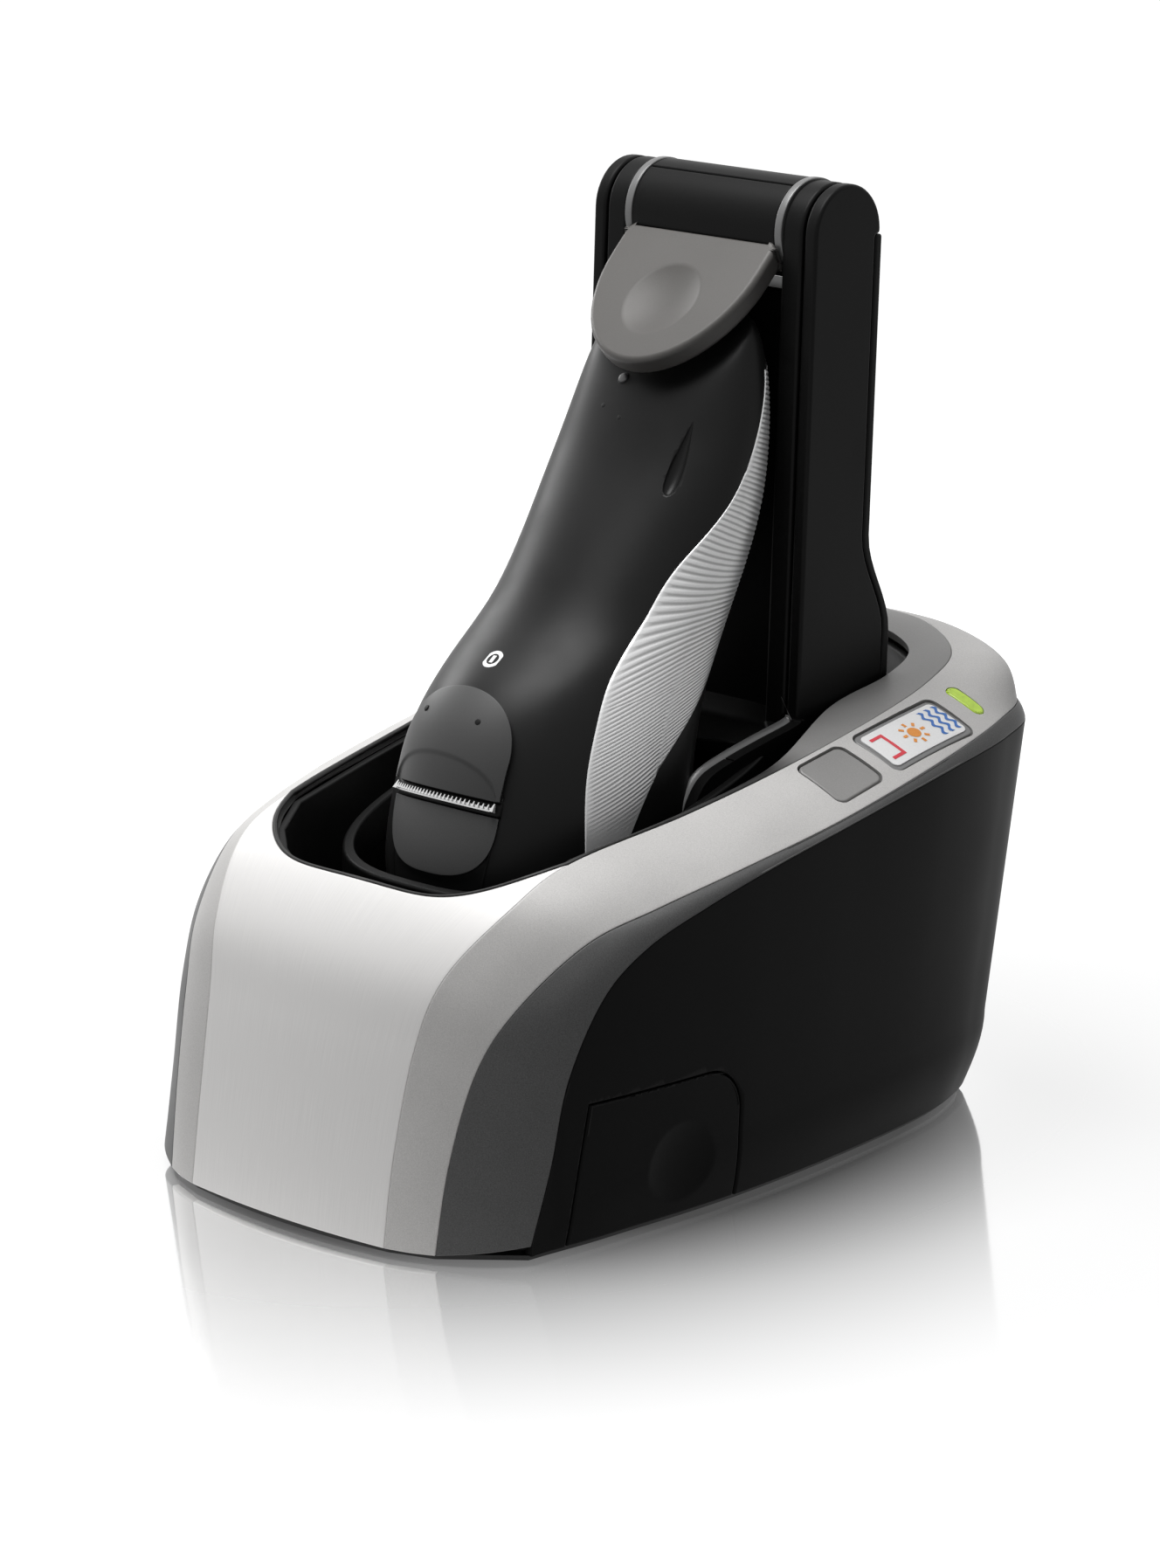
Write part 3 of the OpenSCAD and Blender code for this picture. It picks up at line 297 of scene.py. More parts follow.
def flare(w):
    if w < TUCK_H:
        return TUCK * math.sin(math.pi / 2 * w / TUCK_H)
    return TUCK + (1 - TUCK) * (w - TUCK_H) / (1 - TUCK_H)


def housing_point(u, w):
    """Point of the housing: u along its rails, w from the floor up to the belt."""
    a, b = rail_at(FLOOR, u), rail_at(BELT, u)
    f = flare(w)
    return Vector((a.x + (b.x - a.x) * f, a.y + (b.y - a.y) * f, a.z + (b.z - a.z) * w))


front_panel = stand_for(skin("front_panel_skin", lambda u, v: panel_point(v, 2 * u - 1), 60, 90), "front_panel")
stand_for(skin("corner_trim_skin", lambda u, v: strip_point(FRAME, BELT, u, 2 * v, 0.07), 10, 400), "corner_trim")
top_frame = stand_for(skin("top_frame_skin", lambda u, v: frame_point(u, 2 * v), 20, 400), "top_frame")
housing = stand_for(skin("housing_skin", lambda u, v: housing_point(2 * v, 1 - u), 40, 400), "housing")
print("front panel", len(front_panel.data.polygons), "faces")

# %% [markdown]
# ## Rim of the docking pocket
# The pocket's lip runs right round: behind the front panel's top edge first, then along the crest of the top
# frame. Beside the tower it widens to a level ledge. One closed ring of faces follows it.

# %% Pocket rim and liner
FRONT_SHARE = 8 / 72


def loop_pair(q):
    """Lip and crest points at share q of the way round, from the middle of the front."""
    if q > 0.5:
        return tuple(flip(p) for p in loop_pair(1 - q))
    if q < FRONT_SHARE:
        p = panel_point(1, q / FRONT_SHARE)
        side = p.x / (0.632 * WIDTH / 2)
        return Vector((p.x - 0.0015 * side, p.y + 0.0015 * (1 - side * side), p.z - 0.0002)), p
    u = (q - FRONT_SHARE) / (0.5 - FRONT_SHARE)
    return rail_at(LIP, u), rail_at(CREST, SEAM + u * (1 - SEAM))


def rim_point(u, v):
    lip, crest = loop_pair(v)
    bow = 0.0004 * math.sin(math.pi * u)
    return lip.lerp(crest, u) + Vector((0, 0, bow))


stand_for(skin("inner_rim_skin", rim_point, 6, 360, ring=True), "inner_rim")
soften(stand_for(merged_copy("pocket_liner"), "pocket_liner"), 0.0004, 2, 50)

# %% [markdown]
# ## Controls
# The on/off button, the display and the charge light lie flush in the right band. Their frame of reference has
# x across the band, y along it and z out of it. A rounded block is bent to the band's own curve, so that each
# control keeps an even gap all round.

# %% Frame of reference on the band
BUTTON_U, DISPLAY_U, LIGHT_U = 0.605, 0.668, 0.726
CONTROL_GAP, LIGHT_GAP = 0.0005, 0.00015
BUTTON, DISPLAY, LIGHT = (0.0130, 0.0141), (0.0132, 0.0270), (0.0098, 0.0034)
# where each control's own middle lies on the band and how far it is turned, in metres and degrees
SHIFT = {BUTTON_U: (-0.0010, 0.0006, 5.5), DISPLAY_U: (-0.0004, 0.0011, 4.5), LIGHT_U: (0.0002, 0.0046, -5.3)}


def band_place(u):
    """Frame of reference in the middle of the band at share u of its rail."""
    a, b, c, d = rail_at(CREST, u), rail_at(FRAME, u), rail_at(FRAME, u + 0.02), rail_at(FRAME, u - 0.02)
    x = (b - a).normalized()
    z = (b - a).cross(c - d).normalized()
    y = z.cross(x)
    return Matrix.Translation(a.lerp(b, 0.5)) @ Matrix((x, y, z)).transposed().to_4x4()


def band_matrix(u):
    """The same for the control at u: shifted and turned to where it lies."""
    x, y, turn = SHIFT[u]
    return band_place(u) @ Matrix.Translation((x, y, 0)) @ Matrix.Rotation(math.radians(turn), 4, "Z")


def band_height(u, x, y):
    """Height of the band's skin over the control's own plane at a place x, y on it."""
    place = band_place(u)
    spot = place.inverted() @ band_matrix(u) @ Vector((x, y, 0))
    x, y = spot.x, spot.y
    width = (rail_at(FRAME, u) - rail_at(CREST, u)).length
    step = (rail_at(FRAME, u + 0.01) - rail_at(FRAME, u - 0.01)).length / 0.02
    return (place.inverted() @ frame_point(clamp(x / width + 0.5, 0, 1), u + y / step)).z


def rounded_block(sx, sy, sz, radius, steps=8):
    """A block with its four upright edges rounded."""
    bm = bmesh.new()
    bmesh.ops.create_cube(bm, size=1)
    bmesh.ops.scale(bm, vec=(sx, sy, sz), verts=bm.verts)
    uprights = [e for e in bm.edges if abs(e.verts[0].co.z - e.verts[1].co.z) > sz / 2]
    bmesh.ops.bevel(bm, geom=uprights, offset=radius, offset_type="OFFSET", segments=steps, profile=0.5,
                    affect="EDGES", material=-1)
    return bm


def band_cutter(u, sx, sy, radius, deep=0.014):
    bm = rounded_block(sx, sy, deep, radius)
    bmesh.ops.transform(bm, matrix=band_matrix(u), verts=bm.verts)
    return link("cutter", bm)


def band_block(name, u, sx, sy, radius, top, depth, crown=0):
    """A rounded block whose upper face follows the band, top above it and depth thick."""
    bm = rounded_block(sx, sy, depth, radius)
    for k in range(1, 8):
        for place, facing in (((0, sy * (k / 8 - 0.5), 0), (0, 1, 0)), ((sx * (k / 8 - 0.5), 0, 0), (1, 0, 0))):
            bmesh.ops.bisect_plane(bm, geom=bm.verts[:] + bm.edges[:] + bm.faces[:], dist=1e-7,
                                   plane_co=place, plane_no=facing)
    for vert in bm.verts:
        x, y = vert.co.x, vert.co.y
        lift = crown * (1 - (2 * x / sx) ** 2) * (1 - (2 * y / sy) ** 2)
        vert.co.z += band_height(u, x, y) + top - depth / 2 + lift
    bmesh.ops.transform(bm, matrix=band_matrix(u), verts=bm.verts)
    return link(name, bm)


apply_modifiers(top_frame)
for u, (wide, long), gap, radius in (
        (BUTTON_U, BUTTON, CONTROL_GAP, 0.0024), (DISPLAY_U, DISPLAY, CONTROL_GAP, 0.0024),
        (LIGHT_U, LIGHT, LIGHT_GAP, 0.0018)):
    cut(top_frame, band_cutter(u, wide + 2 * gap, long + 2 * gap, radius))
# each control's corner radius, height over the band, depth, crown, and the width and steps of its soft edge
for name, node, u, size, radius, top, depth, crown, edge, steps in (
        ("on_off_key", "on_off_button", BUTTON_U, BUTTON, 0.0019, -0.0001, WALL - 0.0007, -0.0004, 0.0005, 4),
        ("display_pane", "display_window", DISPLAY_U, DISPLAY, 0.0019, -0.0003, WALL - 0.0003, 0, 0.0003, 3),
        ("charge_lens", "charge_light", LIGHT_U, LIGHT, 0.00169, 0.0002, WALL, 0, 0.0004, 3)):
    soften(stand_for(band_block(name, u, *size, radius, top, depth, crown), node), edge, steps)
soften(top_frame, 0.00025, 2, 40).modifiers[-2].use_clamp_overlap = True
print("display", [round(v, 4) for v in band_matrix(DISPLAY_U).translation])

# %% [markdown]
# ## Release buttons
# Each side wall has a large button near the floor, with a round finger dimple. It is pressed out of the same
# skin as the housing, so its face is laid on the housing's surface: the side view of its outline, with one
# large rounded corner, is filled with a grid and every point is moved sideways to the wall. The dimple is the
# sunken part of a ball. The housing gets the same outline cut out of it, a thin gap larger.

# %% Release buttons
BUTTON_REAR, BUTTON_FRONT, BUTTON_TOP, BUTTON_CORNER = -0.0195, -0.061, 0.0315, 0.010
FOOT_REACH = 0.0055 / 0.0325        # slant of the front edge
DIMPLE_D, DIMPLE_DEPTH = 0.0195, 0.0013


def button_outline(s, t, grow=0.0):
    """Side view of a release button: s from its front to its rear, t from its foot to its top."""
    straight = BUTTON_TOP - BUTTON_CORNER
    foot = GAP - (0.003 if grow else 0.0)
    corner = BUTTON_CORNER + grow
    if t < 0.5:
        z, rear = foot + (straight - foot) * t * 2, BUTTON_REAR + grow
    else:
        turn = (t - 0.5) * math.pi
        z, rear = straight + corner * math.sin(turn), BUTTON_REAR - BUTTON_CORNER + corner * math.cos(turn)
    front = BUTTON_FRONT - grow - FOOT_REACH * (BUTTON_TOP - z)
    return front + (rear - front) * s, z


def wall_at(y, z):
    """Point of the right side wall at this y and z, found by halving the stretch of the rails it lies in."""
    low, high = 0.05, 0.75
    for _ in range(18):
        u = (low + high) / 2
        foot, top = rail_at(FLOOR, u).z, rail_at(BELT, u).z
        p = housing_point(u, (z - foot) / (top - foot))
        low, high = (u, high) if p.y < y else (low, u)
    return Vector((p.x, y, z))


DIMPLE_U, DIMPLE_W = 0.398, 0.18
dimple_at = housing_point(DIMPLE_U, DIMPLE_W)
dimple_out = (housing_point(DIMPLE_U + 0.03, DIMPLE_W) - housing_point(DIMPLE_U - 0.03, DIMPLE_W)).cross(
    housing_point(DIMPLE_U, DIMPLE_W + 0.12) - housing_point(DIMPLE_U, DIMPLE_W - 0.12)).normalized()
ball_radius = ((DIMPLE_D / 2) ** 2 + DIMPLE_DEPTH ** 2) / (2 * DIMPLE_DEPTH)
ball_middle = dimple_at + dimple_out * (ball_radius - DIMPLE_DEPTH)


def button_face(s, t):
    """Face of a release button, sunk where the ball of the dimple cuts into it."""
    p = wall_at(*button_outline(s, t))
    arm = p - ball_middle
    height = arm.dot(dimple_out)
    aside = arm.length_squared - height ** 2
    if aside < ball_radius ** 2:
        sunk = -math.sqrt(ball_radius ** 2 - aside)
        p += dimple_out * min(sunk - height, 0)
    return p


def mirrored(piece, name):
    """The left twin of a right piece, with its faces turned back outwards."""
    bm = bmesh.new()
    bm.from_mesh(piece.data)
    bmesh.ops.scale(bm, vec=(-1, 1, 1), verts=bm.verts)
    bmesh.ops.reverse_faces(bm, faces=bm.faces)
    return link(name, bm)


release_right = skin("release_key_right", button_face, 84, 64, edge=0.0005)
apply_modifiers(release_right)
release_left = mirrored(release_right, "release_key_left")
stand_for(release_right, "release_button_right")
stand_for(release_left, "release_button_left")

ARM_IN, ARM_LONG, HOOK = 0.0466, 0.007, 0.0016      # inner end, length along the wall, thickness of the hook
arm_out = dimple_at.x - WALL
for key, side in (("right", 1), ("left", -1)):
    bm = rounded_block(arm_out - ARM_IN, ARM_LONG, 0.004, 0.0006, 3)
    bmesh.ops.translate(bm, vec=(side * (arm_out + ARM_IN) / 2, dimple_at.y, dimple_at.z - 0.002), verts=bm.verts)
    hook = bmesh.ops.create_cube(bm, size=1)["verts"]
    bmesh.ops.scale(bm, vec=(HOOK, ARM_LONG, 0.006), verts=hook)
    bmesh.ops.translate(bm, vec=(side * (ARM_IN + HOOK / 2), dimple_at.y, dimple_at.z - 0.003), verts=hook)
    soften(carried(link("latch_arm_" + key, bm), "release_" + key, "black_housing"), 0.0002, 2)

# %% [markdown]
# The openings are cut with slabs of the same outline, and the mains socket's with a rounded block.

# %% Openings in the housing
apply_modifiers(housing)
for side in (1, -1):
    def slab_face(s, t):
        y, z = button_outline(s, t, CONTROL_GAP)
        return Vector((side * 0.04, y, z))
    slab = link("cutter", grid_on(slab_face, 2, 48))
    thick = slab.modifiers.new("slab", "SOLIDIFY")
    thick.thickness = 0.04
    thick.offset = side
    apply_modifiers(slab)
    cut(housing, slab)
SOCKET_W, SOCKET_H, SOCKET_Z = 0.012, 0.009, 0.022
bm = rounded_block(SOCKET_W, SOCKET_H, 0.02, 0.0015)
bmesh.ops.rotate(bm, cent=(0, 0, 0), matrix=Matrix.Rotation(math.pi / 2, 3, "X"), verts=bm.verts)
bmesh.ops.translate(bm, vec=(0, LENGTH / 2 - 0.005, SOCKET_Z), verts=bm.verts)
cut(housing, link("cutter", bm))
print("housing", len(housing.data.polygons), "faces")

# %% [markdown]
# ## Tower, holder and cap
# These are plain moulded solids with real shapes in the CAD model. Each is copied, its flat faces are joined,
# and its edges are rounded as the mould would round them: about 0.7 mm on the tower, more on the cap, whose
# soft edge is easy to see against the dark body.

# %% Rounded mouldings
# width and steps of each moulding's rounded edges
for node, width, steps in (("tower_frame", 0.0008, 4), ("tower_cover", 0.0006, 3), ("holder", 0.0008, 4),
                           ("head_ring", 0.0007, 4), ("cap", 0.0013, 5), ("hinge_rings", 0.0003, 2)):
    soften(stand_for(merged_copy(node), node), width, steps, 32)
barrel = stand_for(merged_copy("cap_barrel"), "cap_barrel")

# %% [markdown]
# The barrel is moulded in two halves: a fine line runs along it, in front of its top.

# %% Seam of the barrel
HINGE = Vector((0, 0.046, 0.1938))
BARREL_R = 0.0109
SEAM_TURN = math.radians(26)      # how far in front of the barrel's top the line lies
bm = rounded_block(0.05, 0.00035, 0.0012, 0.0001, 1)
turn = Matrix.Translation(HINGE) @ Matrix.Rotation(SEAM_TURN, 4, "X") @ Matrix.Translation((0, 0, BARREL_R))
bmesh.ops.transform(bm, matrix=turn, verts=bm.verts)
cut(barrel, link("cutter", bm))
soften(barrel, 0.0003, 2)

# %% [markdown]
# ## Shaver
# The shaver's body is a loft: thirteen sections lean forward from the grip's end down to the head, each one
# round in front and squarer behind. The same sections place everything that lies on its surface.

# %% Surface of the shaver
HEAD, GRIP = 0.0325, 0.026      # half widths
# front y and z, rear y and z in mm from the cap's hinge, and half width in m
SECTIONS = [
    (-86, -147.8, -50, -145.8, 0.68 * HEAD), (-95, -139.8, -42, -136.8, 0.954 * HEAD),
    (-96.5, -127.8, -39, -124.8, HEAD), (-92.5, -110.8, -37, -107.8, 0.954 * HEAD),
    (-89, -98.8, -32.5, -93.8, 0.877 * HEAD), (-79, -88.3, -26, -80.8, 1.01 * GRIP),
    (-66.6, -80.8, -20.5, -68.8, 0.99 * GRIP), (-57, -69.8, -16, -56.3, GRIP),
    (-49, -59.8, -14, -44.3, GRIP), (-40, -48.3, -13.4, -32.3, 0.96 * GRIP),
    (-34.5, -38.8, -13.2, -21.8, 0.885 * GRIP), (-30.5, -32.3, -13.4, -15.3, 0.79 * GRIP),
    (-28, -29.8, -14.5, -16.3, 0.65 * GRIP)]
PEAK, REAR_POWER, END_ROUND = 0.6, 3.2, 0.018      # widest place, squareness behind, length of the rounded ends


def spline(values, u):
    n = len(values) - 1
    s = clamp(u, 0, 1) * n
    i = min(int(s), n - 1)
    return curve(values[max(i - 1, 0)], values[i], values[i + 1], values[min(i + 2, n)], s - i)


SECTION_PARTS = [[row[k] for row in SECTIONS] for k in range(5)]
REAR_FULLER = (0, 0, 0, 0, 1.5, 3, 4, 4, 3.4, 3, 2.4, 1.4, 0)
SECTION_PARTS[2] = [y + more for y, more in zip(SECTION_PARTS[2], REAR_FULLER)]


def smooth_spline(values, u):
    """A softer curve than spline(): it only passes near its inner points."""
    ends = [2 * values[0] - values[1]] + values + [2 * values[-1] - values[-2]]
    n = len(values) - 1
    s = clamp(u, 0, 1) * n
    i = min(int(s), n - 1)
    t = s - i
    a, b, c, d = ends[i:i + 4]
    return (a * (1 - t) ** 3 + b * (3 * t ** 3 - 6 * t * t + 4)
            + c * (-3 * t ** 3 + 3 * t * t + 3 * t + 1) + d * t ** 3) / 6


def section(v):
    """Front and rear point and half width of the shaver at v; both ends are rounded off."""
    row = [smooth_spline(part, v) for part in SECTION_PARTS]
    end = min(v, 1 - v) / END_ROUND
    if end < 1:
        draw = 0.9 + 0.1 * math.sqrt(1 - (1 - end) ** 2)
        middle = [(row[0] + row[2]) / 2, (row[1] + row[3]) / 2] * 2
        row = [m + (edge - m) * draw for m, edge in zip(middle, row)] + [row[4] * draw]
    return row


def shaver_point(v, w, row=None):
    """Point of the shaver: v from the head to the grip's end, w round it from the middle of the front."""
    y0, z0, y1, z1, half = row or section(v)
    c, q = math.cos(w), abs(math.sin(w))
    t = PEAK * (1 - c) if c >= 0 else PEAK + (1 - PEAK) * (-c) ** (2 / REAR_POWER)
    x = q if c >= 0 else q ** (2 / REAR_POWER)
    x = math.copysign(half * x, math.sin(w))
    return HINGE + Vector((x, (y0 + (y1 - y0) * t) / 1000, (z0 + (z1 - z0) * t) / 1000))


def share_angle(c):
    """The angle w at share c of the way from the front to the rear."""
    if c < PEAK:
        return math.acos(1 - c / PEAK)
    return math.pi / 2 + math.asin(min((c - PEAK) / (1 - PEAK), 1) ** (REAR_POWER / 2))


def outward(v, w):
    """Outward normal of the shaver's surface."""
    across = shaver_point(v, w + 0.02) - shaver_point(v, w - 0.02)
    along = shaver_point(min(v + 0.01, 1), w) - shaver_point(max(v - 0.01, 0), w)
    return across.cross(along).normalized()


bm = grid_on(lambda u, v: shaver_point(v, 2 * math.pi * u), 160, 260, ring=True)
bmesh.ops.holes_fill(bm, edges=[e for e in bm.edges if e.is_boundary])
bmesh.ops.recalc_face_normals(bm, faces=bm.faces)
shaver = stand_for(link("shaver_shell", bm), "shaver_body")
print("shaver's front at the trimmer", [round(x, 4) for x in shaver_point(0.25, 0)])

# %% [markdown]
# A small drop-shaped thumb recess lies beside the face, narrow above and deepest at its lower end. It is cut with
# a ball that is stretched along the surface and tapered.

# %% Thumb recess
DROP_WIDE, DROP_DEEP = 0.0027, 0.0024      # half measures at its lower end


def drop_cutter():
    low, high = shaver_point(0.702, math.radians(40.4)), shaver_point(0.822, math.radians(44.4))
    out = outward(0.75, math.radians(42))
    z = (high - low).normalized()
    x = z.cross(out).normalized()
    bm = bmesh.new()
    bmesh.ops.create_uvsphere(bm, u_segments=32, v_segments=24, radius=1)
    for vert in bm.verts:
        share = (vert.co.z + 1) / 2
        vert.co.x *= DROP_WIDE * (1 - 0.8 * share)
        vert.co.y *= DROP_DEEP * (1 - 0.6 * share)
        vert.co.z *= (high - low).length / 2
    place = Matrix((x, z.cross(x), z)).transposed().to_4x4()
    bmesh.ops.transform(bm, matrix=Matrix.Translation((low + high) / 2 + out * 0.0003) @ place, verts=bm.verts)
    return link("cutter", bm)


cut(shaver, drop_cutter())
shaver.modifiers.new("even shading", "WEIGHTED_NORMAL").keep_sharp = True

# %% [markdown]
# Behind the shaver the holder has a level shelf that closes the view into the lift, and an arm on each side that
# runs forward and bends down round the shaver. The arms are thin plates, each with a short joint line. A painted
# highlight lies over each arm's upper outer edge: a pale satin strip that shows as a pale line against the black,
# in place of the light the arm's rounded edge would catch.

# %% Shelf and arms of the holder
SHELF_Z, ARM_X, ARM_DEEP, ARM_THICK = 0.0872, 0.0305, 0.009, 0.0032
ARM_LINE = [Vector((0, y / 1000, z / 1000)) for y, z in
            ((30.6, 91.0), (29, 89.8), (19, 88), (9, 86), (1, 83.6), (-3.2, 79.4), (-5, 75), (-6.5, 69))]


def shelf_face(u, v):
    x = 0.0278 * (2 * u - 1)
    near = 0.0125 + 0.004 * ease((abs(x) - 0.014) / 0.012)
    return Vector((x, near + (0.0375 - near) * v, SHELF_Z + 0.006 * ease((v - 0.72) / 0.28)))


carried(skin("holder_shelf", shelf_face, 40, 24, wall=0.003, edge=0.0005), "holder", "tower_black")
for side, key in ((1, "right"), (-1, "left")):
    def arm_face(u, v, side=side):
        top = spline(ARM_LINE, v)
        ahead = spline(ARM_LINE, min(v + 0.02, 1)) - spline(ARM_LINE, max(v - 0.02, 0))
        down = Vector((0, -ahead.z, ahead.y)).normalized()
        at = top + down * ARM_DEEP * u
        return Vector((side * ARM_X, at.y, at.z))
    arm = link("holder_arm_" + key, grid_on(arm_face, 8, 48))
    plate = arm.modifiers.new("plate", "SOLIDIFY")
    plate.thickness = ARM_THICK
    plate.offset = -1 if side > 0 else 1
    apply_modifiers(arm)
    bm = bmesh.new()
    bm.from_mesh(arm.data)
    bmesh.ops.recalc_face_normals(bm, faces=bm.faces)
    bm.to_mesh(arm.data)
    bm.free()
    bm = rounded_block(0.0060, 0.0005, 0.014, 0.0001, 1)
    bmesh.ops.translate(bm, vec=(side * ARM_X, 0.0088, 0.0835), verts=bm.verts)
    cut(arm, link("cutter", bm))
    soften(arm, 0.0007, 3, 50)
    arm.modifiers["broken edges"].use_clamp_overlap = True
    carried(arm, "holder", "tower_black")

    # painted highlight: the pale strip stands in for the light on the arm's rounded upper edge
    def highlight_strip_face(u, v, side=side):
        top = spline(ARM_LINE, 0.02 + 0.96 * v)
        turn = math.pi / 2 * u
        x = ARM_X - 0.0011 + 0.0013 * math.sin(turn)
        return Vector((side * x, top.y, top.z - 0.0009 + 0.0012 * math.cos(turn)))
    carried(skin("holder_trim_" + key, highlight_strip_face, 6, 60, wall=0.0005 * side, edge=0.0001), "holder", "chrome_ring")

# %% [markdown]
# ## Silver side panels
# The panels carry fine moulded ribs, nearly level near the grip's end and rising to the rear towards the head,
# where they fade into a smooth satin face. The ribs are real relief: the panel's grid is fine enough to give each one its
# crest and its groove. The left panel mirrors the right one.

# %% Side panels
# where the panel's two edges lie between the shaver's front (0) and rear (1), from the head to the grip's end
PANEL_FRONT = [0.33, 0.31, 0.29, 0.29, 0.27, 0.27, 0.31, 0.54, 0.68, 0.78]
PANEL_REAR = [0.38, 0.46, 0.60, 0.82, 0.93, 0.95, 0.95, 0.95, 0.95, 0.9]
PANEL_TRIM, PANEL_PROUD, RIB, RIB_PITCH = 0.2, 0.0002, 0.00015, 0.00105
PANEL_ROWS, PANEL_COLS = 840, 80
PANEL_EDGE = 0.0003      # how far the sheet's outermost row dips below the panel's face


def panel_row(u):
    """The shaver's place, the panel's two edges and its middle at share u of the panel's length."""
    v = (1 + 9 * (PANEL_TRIM / 8 + (1 - PANEL_TRIM / 4) * u)) / 12
    front = share_angle(spline(PANEL_FRONT, u) + PANEL_TRIM / 50)
    rear = share_angle(spline(PANEL_REAR, u) - PANEL_TRIM / 50)
    middle = shaver_point(v, (front + rear) / 2)
    return v, front, rear, middle, section(v)


panel_rows, panel_ribs = {}, {}


def rib_at(b, p, middle):
    """Phase of the ribs, in turns, and their strength at a place on the panel."""
    slope = -0.28 + 0.78 * ease((0.138 - p.z) / 0.05)
    strength = ease((p.z - 0.074) / 0.02) * ease(6 * min(b, 1 - b) + 0.1)
    return (p.z - slope * (p.y - middle.y)) / RIB_PITCH, strength


def panel_key(b, u):
    return round(b * PANEL_COLS), round(u * PANEL_ROWS)


def side_panel(b, u):
    """b from the rear edge to the front edge, u from the head to the grip's end."""
    column, line = panel_key(b, u)
    if line not in panel_rows:
        panel_rows[line] = panel_row(u)
    v, front, rear, middle, row = panel_rows[line]
    w = rear + (front - rear) * b
    p = shaver_point(v, w, row)
    phase, strength = panel_ribs[column, line] = rib_at(b, p, middle)
    dip = PANEL_EDGE if column in (0, PANEL_COLS) else 0
    lift = PANEL_PROUD + RIB * strength * (0.5 + 0.5 * math.cos(2 * math.pi * phase)) - dip
    facing = Vector((1, -0.35, 0.2)) if w < math.pi / 2 else Vector((1, 0.15, 0))
    return p + facing.normalized() * lift


bm = grid_on(side_panel, PANEL_COLS, PANEL_ROWS)
bmesh.ops.recalc_face_normals(bm, faces=bm.faces)
ribs = bm.loops.layers.uv.new("ribs")
shares = bm.loops.layers.uv["shares"]
for face in bm.faces:
    for loop in face.loops:
        loop[ribs].uv = panel_ribs[panel_key(*loop[shares].uv)]
side_right = link("side_panel_right", bm)
side_left = mirrored(side_right, "side_panel_left")
for piece in (side_right, side_left):
    stand_for(piece, "shaver_side_panels")
print("side panel", len(side_right.data.polygons), "faces")

# %% [markdown]
# ## Trimmer and head
# The trimmer folds out of the shaver's face. Its arched housing is laid on the face and stands a little proud
# of it, with a shallow lens-shaped hollow over the slot. Its comb is a thin plate with teeth. Below the slot a
# half-round plate covers the head.

# %% Trimmer housing
FACE_TILT = math.radians(31)
FACE_OUT = Vector((0, -math.cos(FACE_TILT), math.sin(FACE_TILT)))
FACE_V, ARCH_V, ARCH_W, TRIM_GAP, TRIM_T = 0.2527, 0.150, 0.0152, 0.00035, 0.0022
SLOT_HALF = 0.0150
LENS_HIGH, LENS_DEEP = 0.34, 0.0007


def face_point(v, x, lift=0.0):
    """Point of the shaver's face: v along it, x to the side, lifted off it."""
    row = section(v)
    return shaver_point(v, math.asin(clamp(x / row[4], -1, 1)), row) + FACE_OUT * lift


def arch(x):
    return 0.3 + 0.7 * math.sqrt(max(1 - x * x, 0))


def slot_rise(x):
    """The slot looks straight from the front, so its middle lies a little higher on the round face."""
    return 0.0085 * (1 - (x / SLOT_HALF) ** 2)


def trimmer_face(a, b):
    x = math.sin(math.pi / 2 * (2 * b - 1))
    lens = LENS_HIGH * math.sqrt(max(1 - (x / 0.95) ** 2, 0))
    hollow = LENS_DEEP * ease((lens - a * arch(x)) / 0.05) * (1 - 0.6 * min(a / LENS_HIGH, 1))
    v = FACE_V + slot_rise(ARCH_W * x) * (1 - a) + ARCH_V * arch(x) * a
    return face_point(v, ARCH_W * x, TRIM_GAP + TRIM_T * (1 - 0.25 * x ** 4) - hollow)


def face_plate(name, node, surface, across, along, wall, edge):
    """A plate on the shaver's face whose bevel may not overlap itself in its tight corners."""
    plate = stand_for(skin(name, lambda u, v: surface(v, u), across, along, wall=wall, edge=edge), node)
    plate.modifiers["broken edges"].use_clamp_overlap = True


face_plate("trimmer_cover", "trimmer_housing", trimmer_face, 72, 96, 0.00165, 0.0007)

# %% [markdown]
# The comb's plate carries a row of small pointed teeth, with a larger one at each end.

# %% Slot and comb
COMB_HALF, TEETH, COMB_V = 0.0141, 28, 0.2402
SLOT_V, SLOT_HIGH = 0.2355, 0.0175


def slot_face(u, v):
    x = SLOT_HALF * (2 * u - 1)
    return face_point(SLOT_V + slot_rise(x) + SLOT_HIGH * v, x, 0.0004)


def comb_base(u, v):
    x = COMB_HALF * (2 * u - 1)
    return face_point(COMB_V + slot_rise(x) + 0.0046 * v, x, TRIM_GAP + 0.0012)


slot_band = link("trimmer_slot_band", grid_on(slot_face, 40, 4))
slot_band.modifiers.new("plate", "SOLIDIFY").thickness = 0.0008
carried(slot_band, BODY_OF["shaver_body"], "black_fitting")
comb_plate = link("trimmer_comb", grid_on(comb_base, 32, 1))
comb_plate.modifiers.new("plate", "SOLIDIFY").thickness = 0.0006
apply_modifiers(comb_plate)
bm = bmesh.new()
bm.from_mesh(comb_plate.data)
bpy.data.objects.remove(comb_plate)
for k in range(TEETH + 1):
    big = 1.7 if k in (0, TEETH) else 1.0
    tooth = bmesh.ops.create_cone(bm, cap_ends=True, segments=4, radius1=0.00042 * big, radius2=0.00016,
                                  depth=0.0011 * big)["verts"]
    spot = comb_base(k / TEETH, 1.05) + FACE_OUT * 0.0001
    lean = Matrix.Translation(spot) @ Matrix.Rotation(-FACE_TILT, 4, "X") @ Matrix.Rotation(math.pi / 4, 4, "Z")
    bmesh.ops.transform(bm, matrix=lean, verts=tooth)
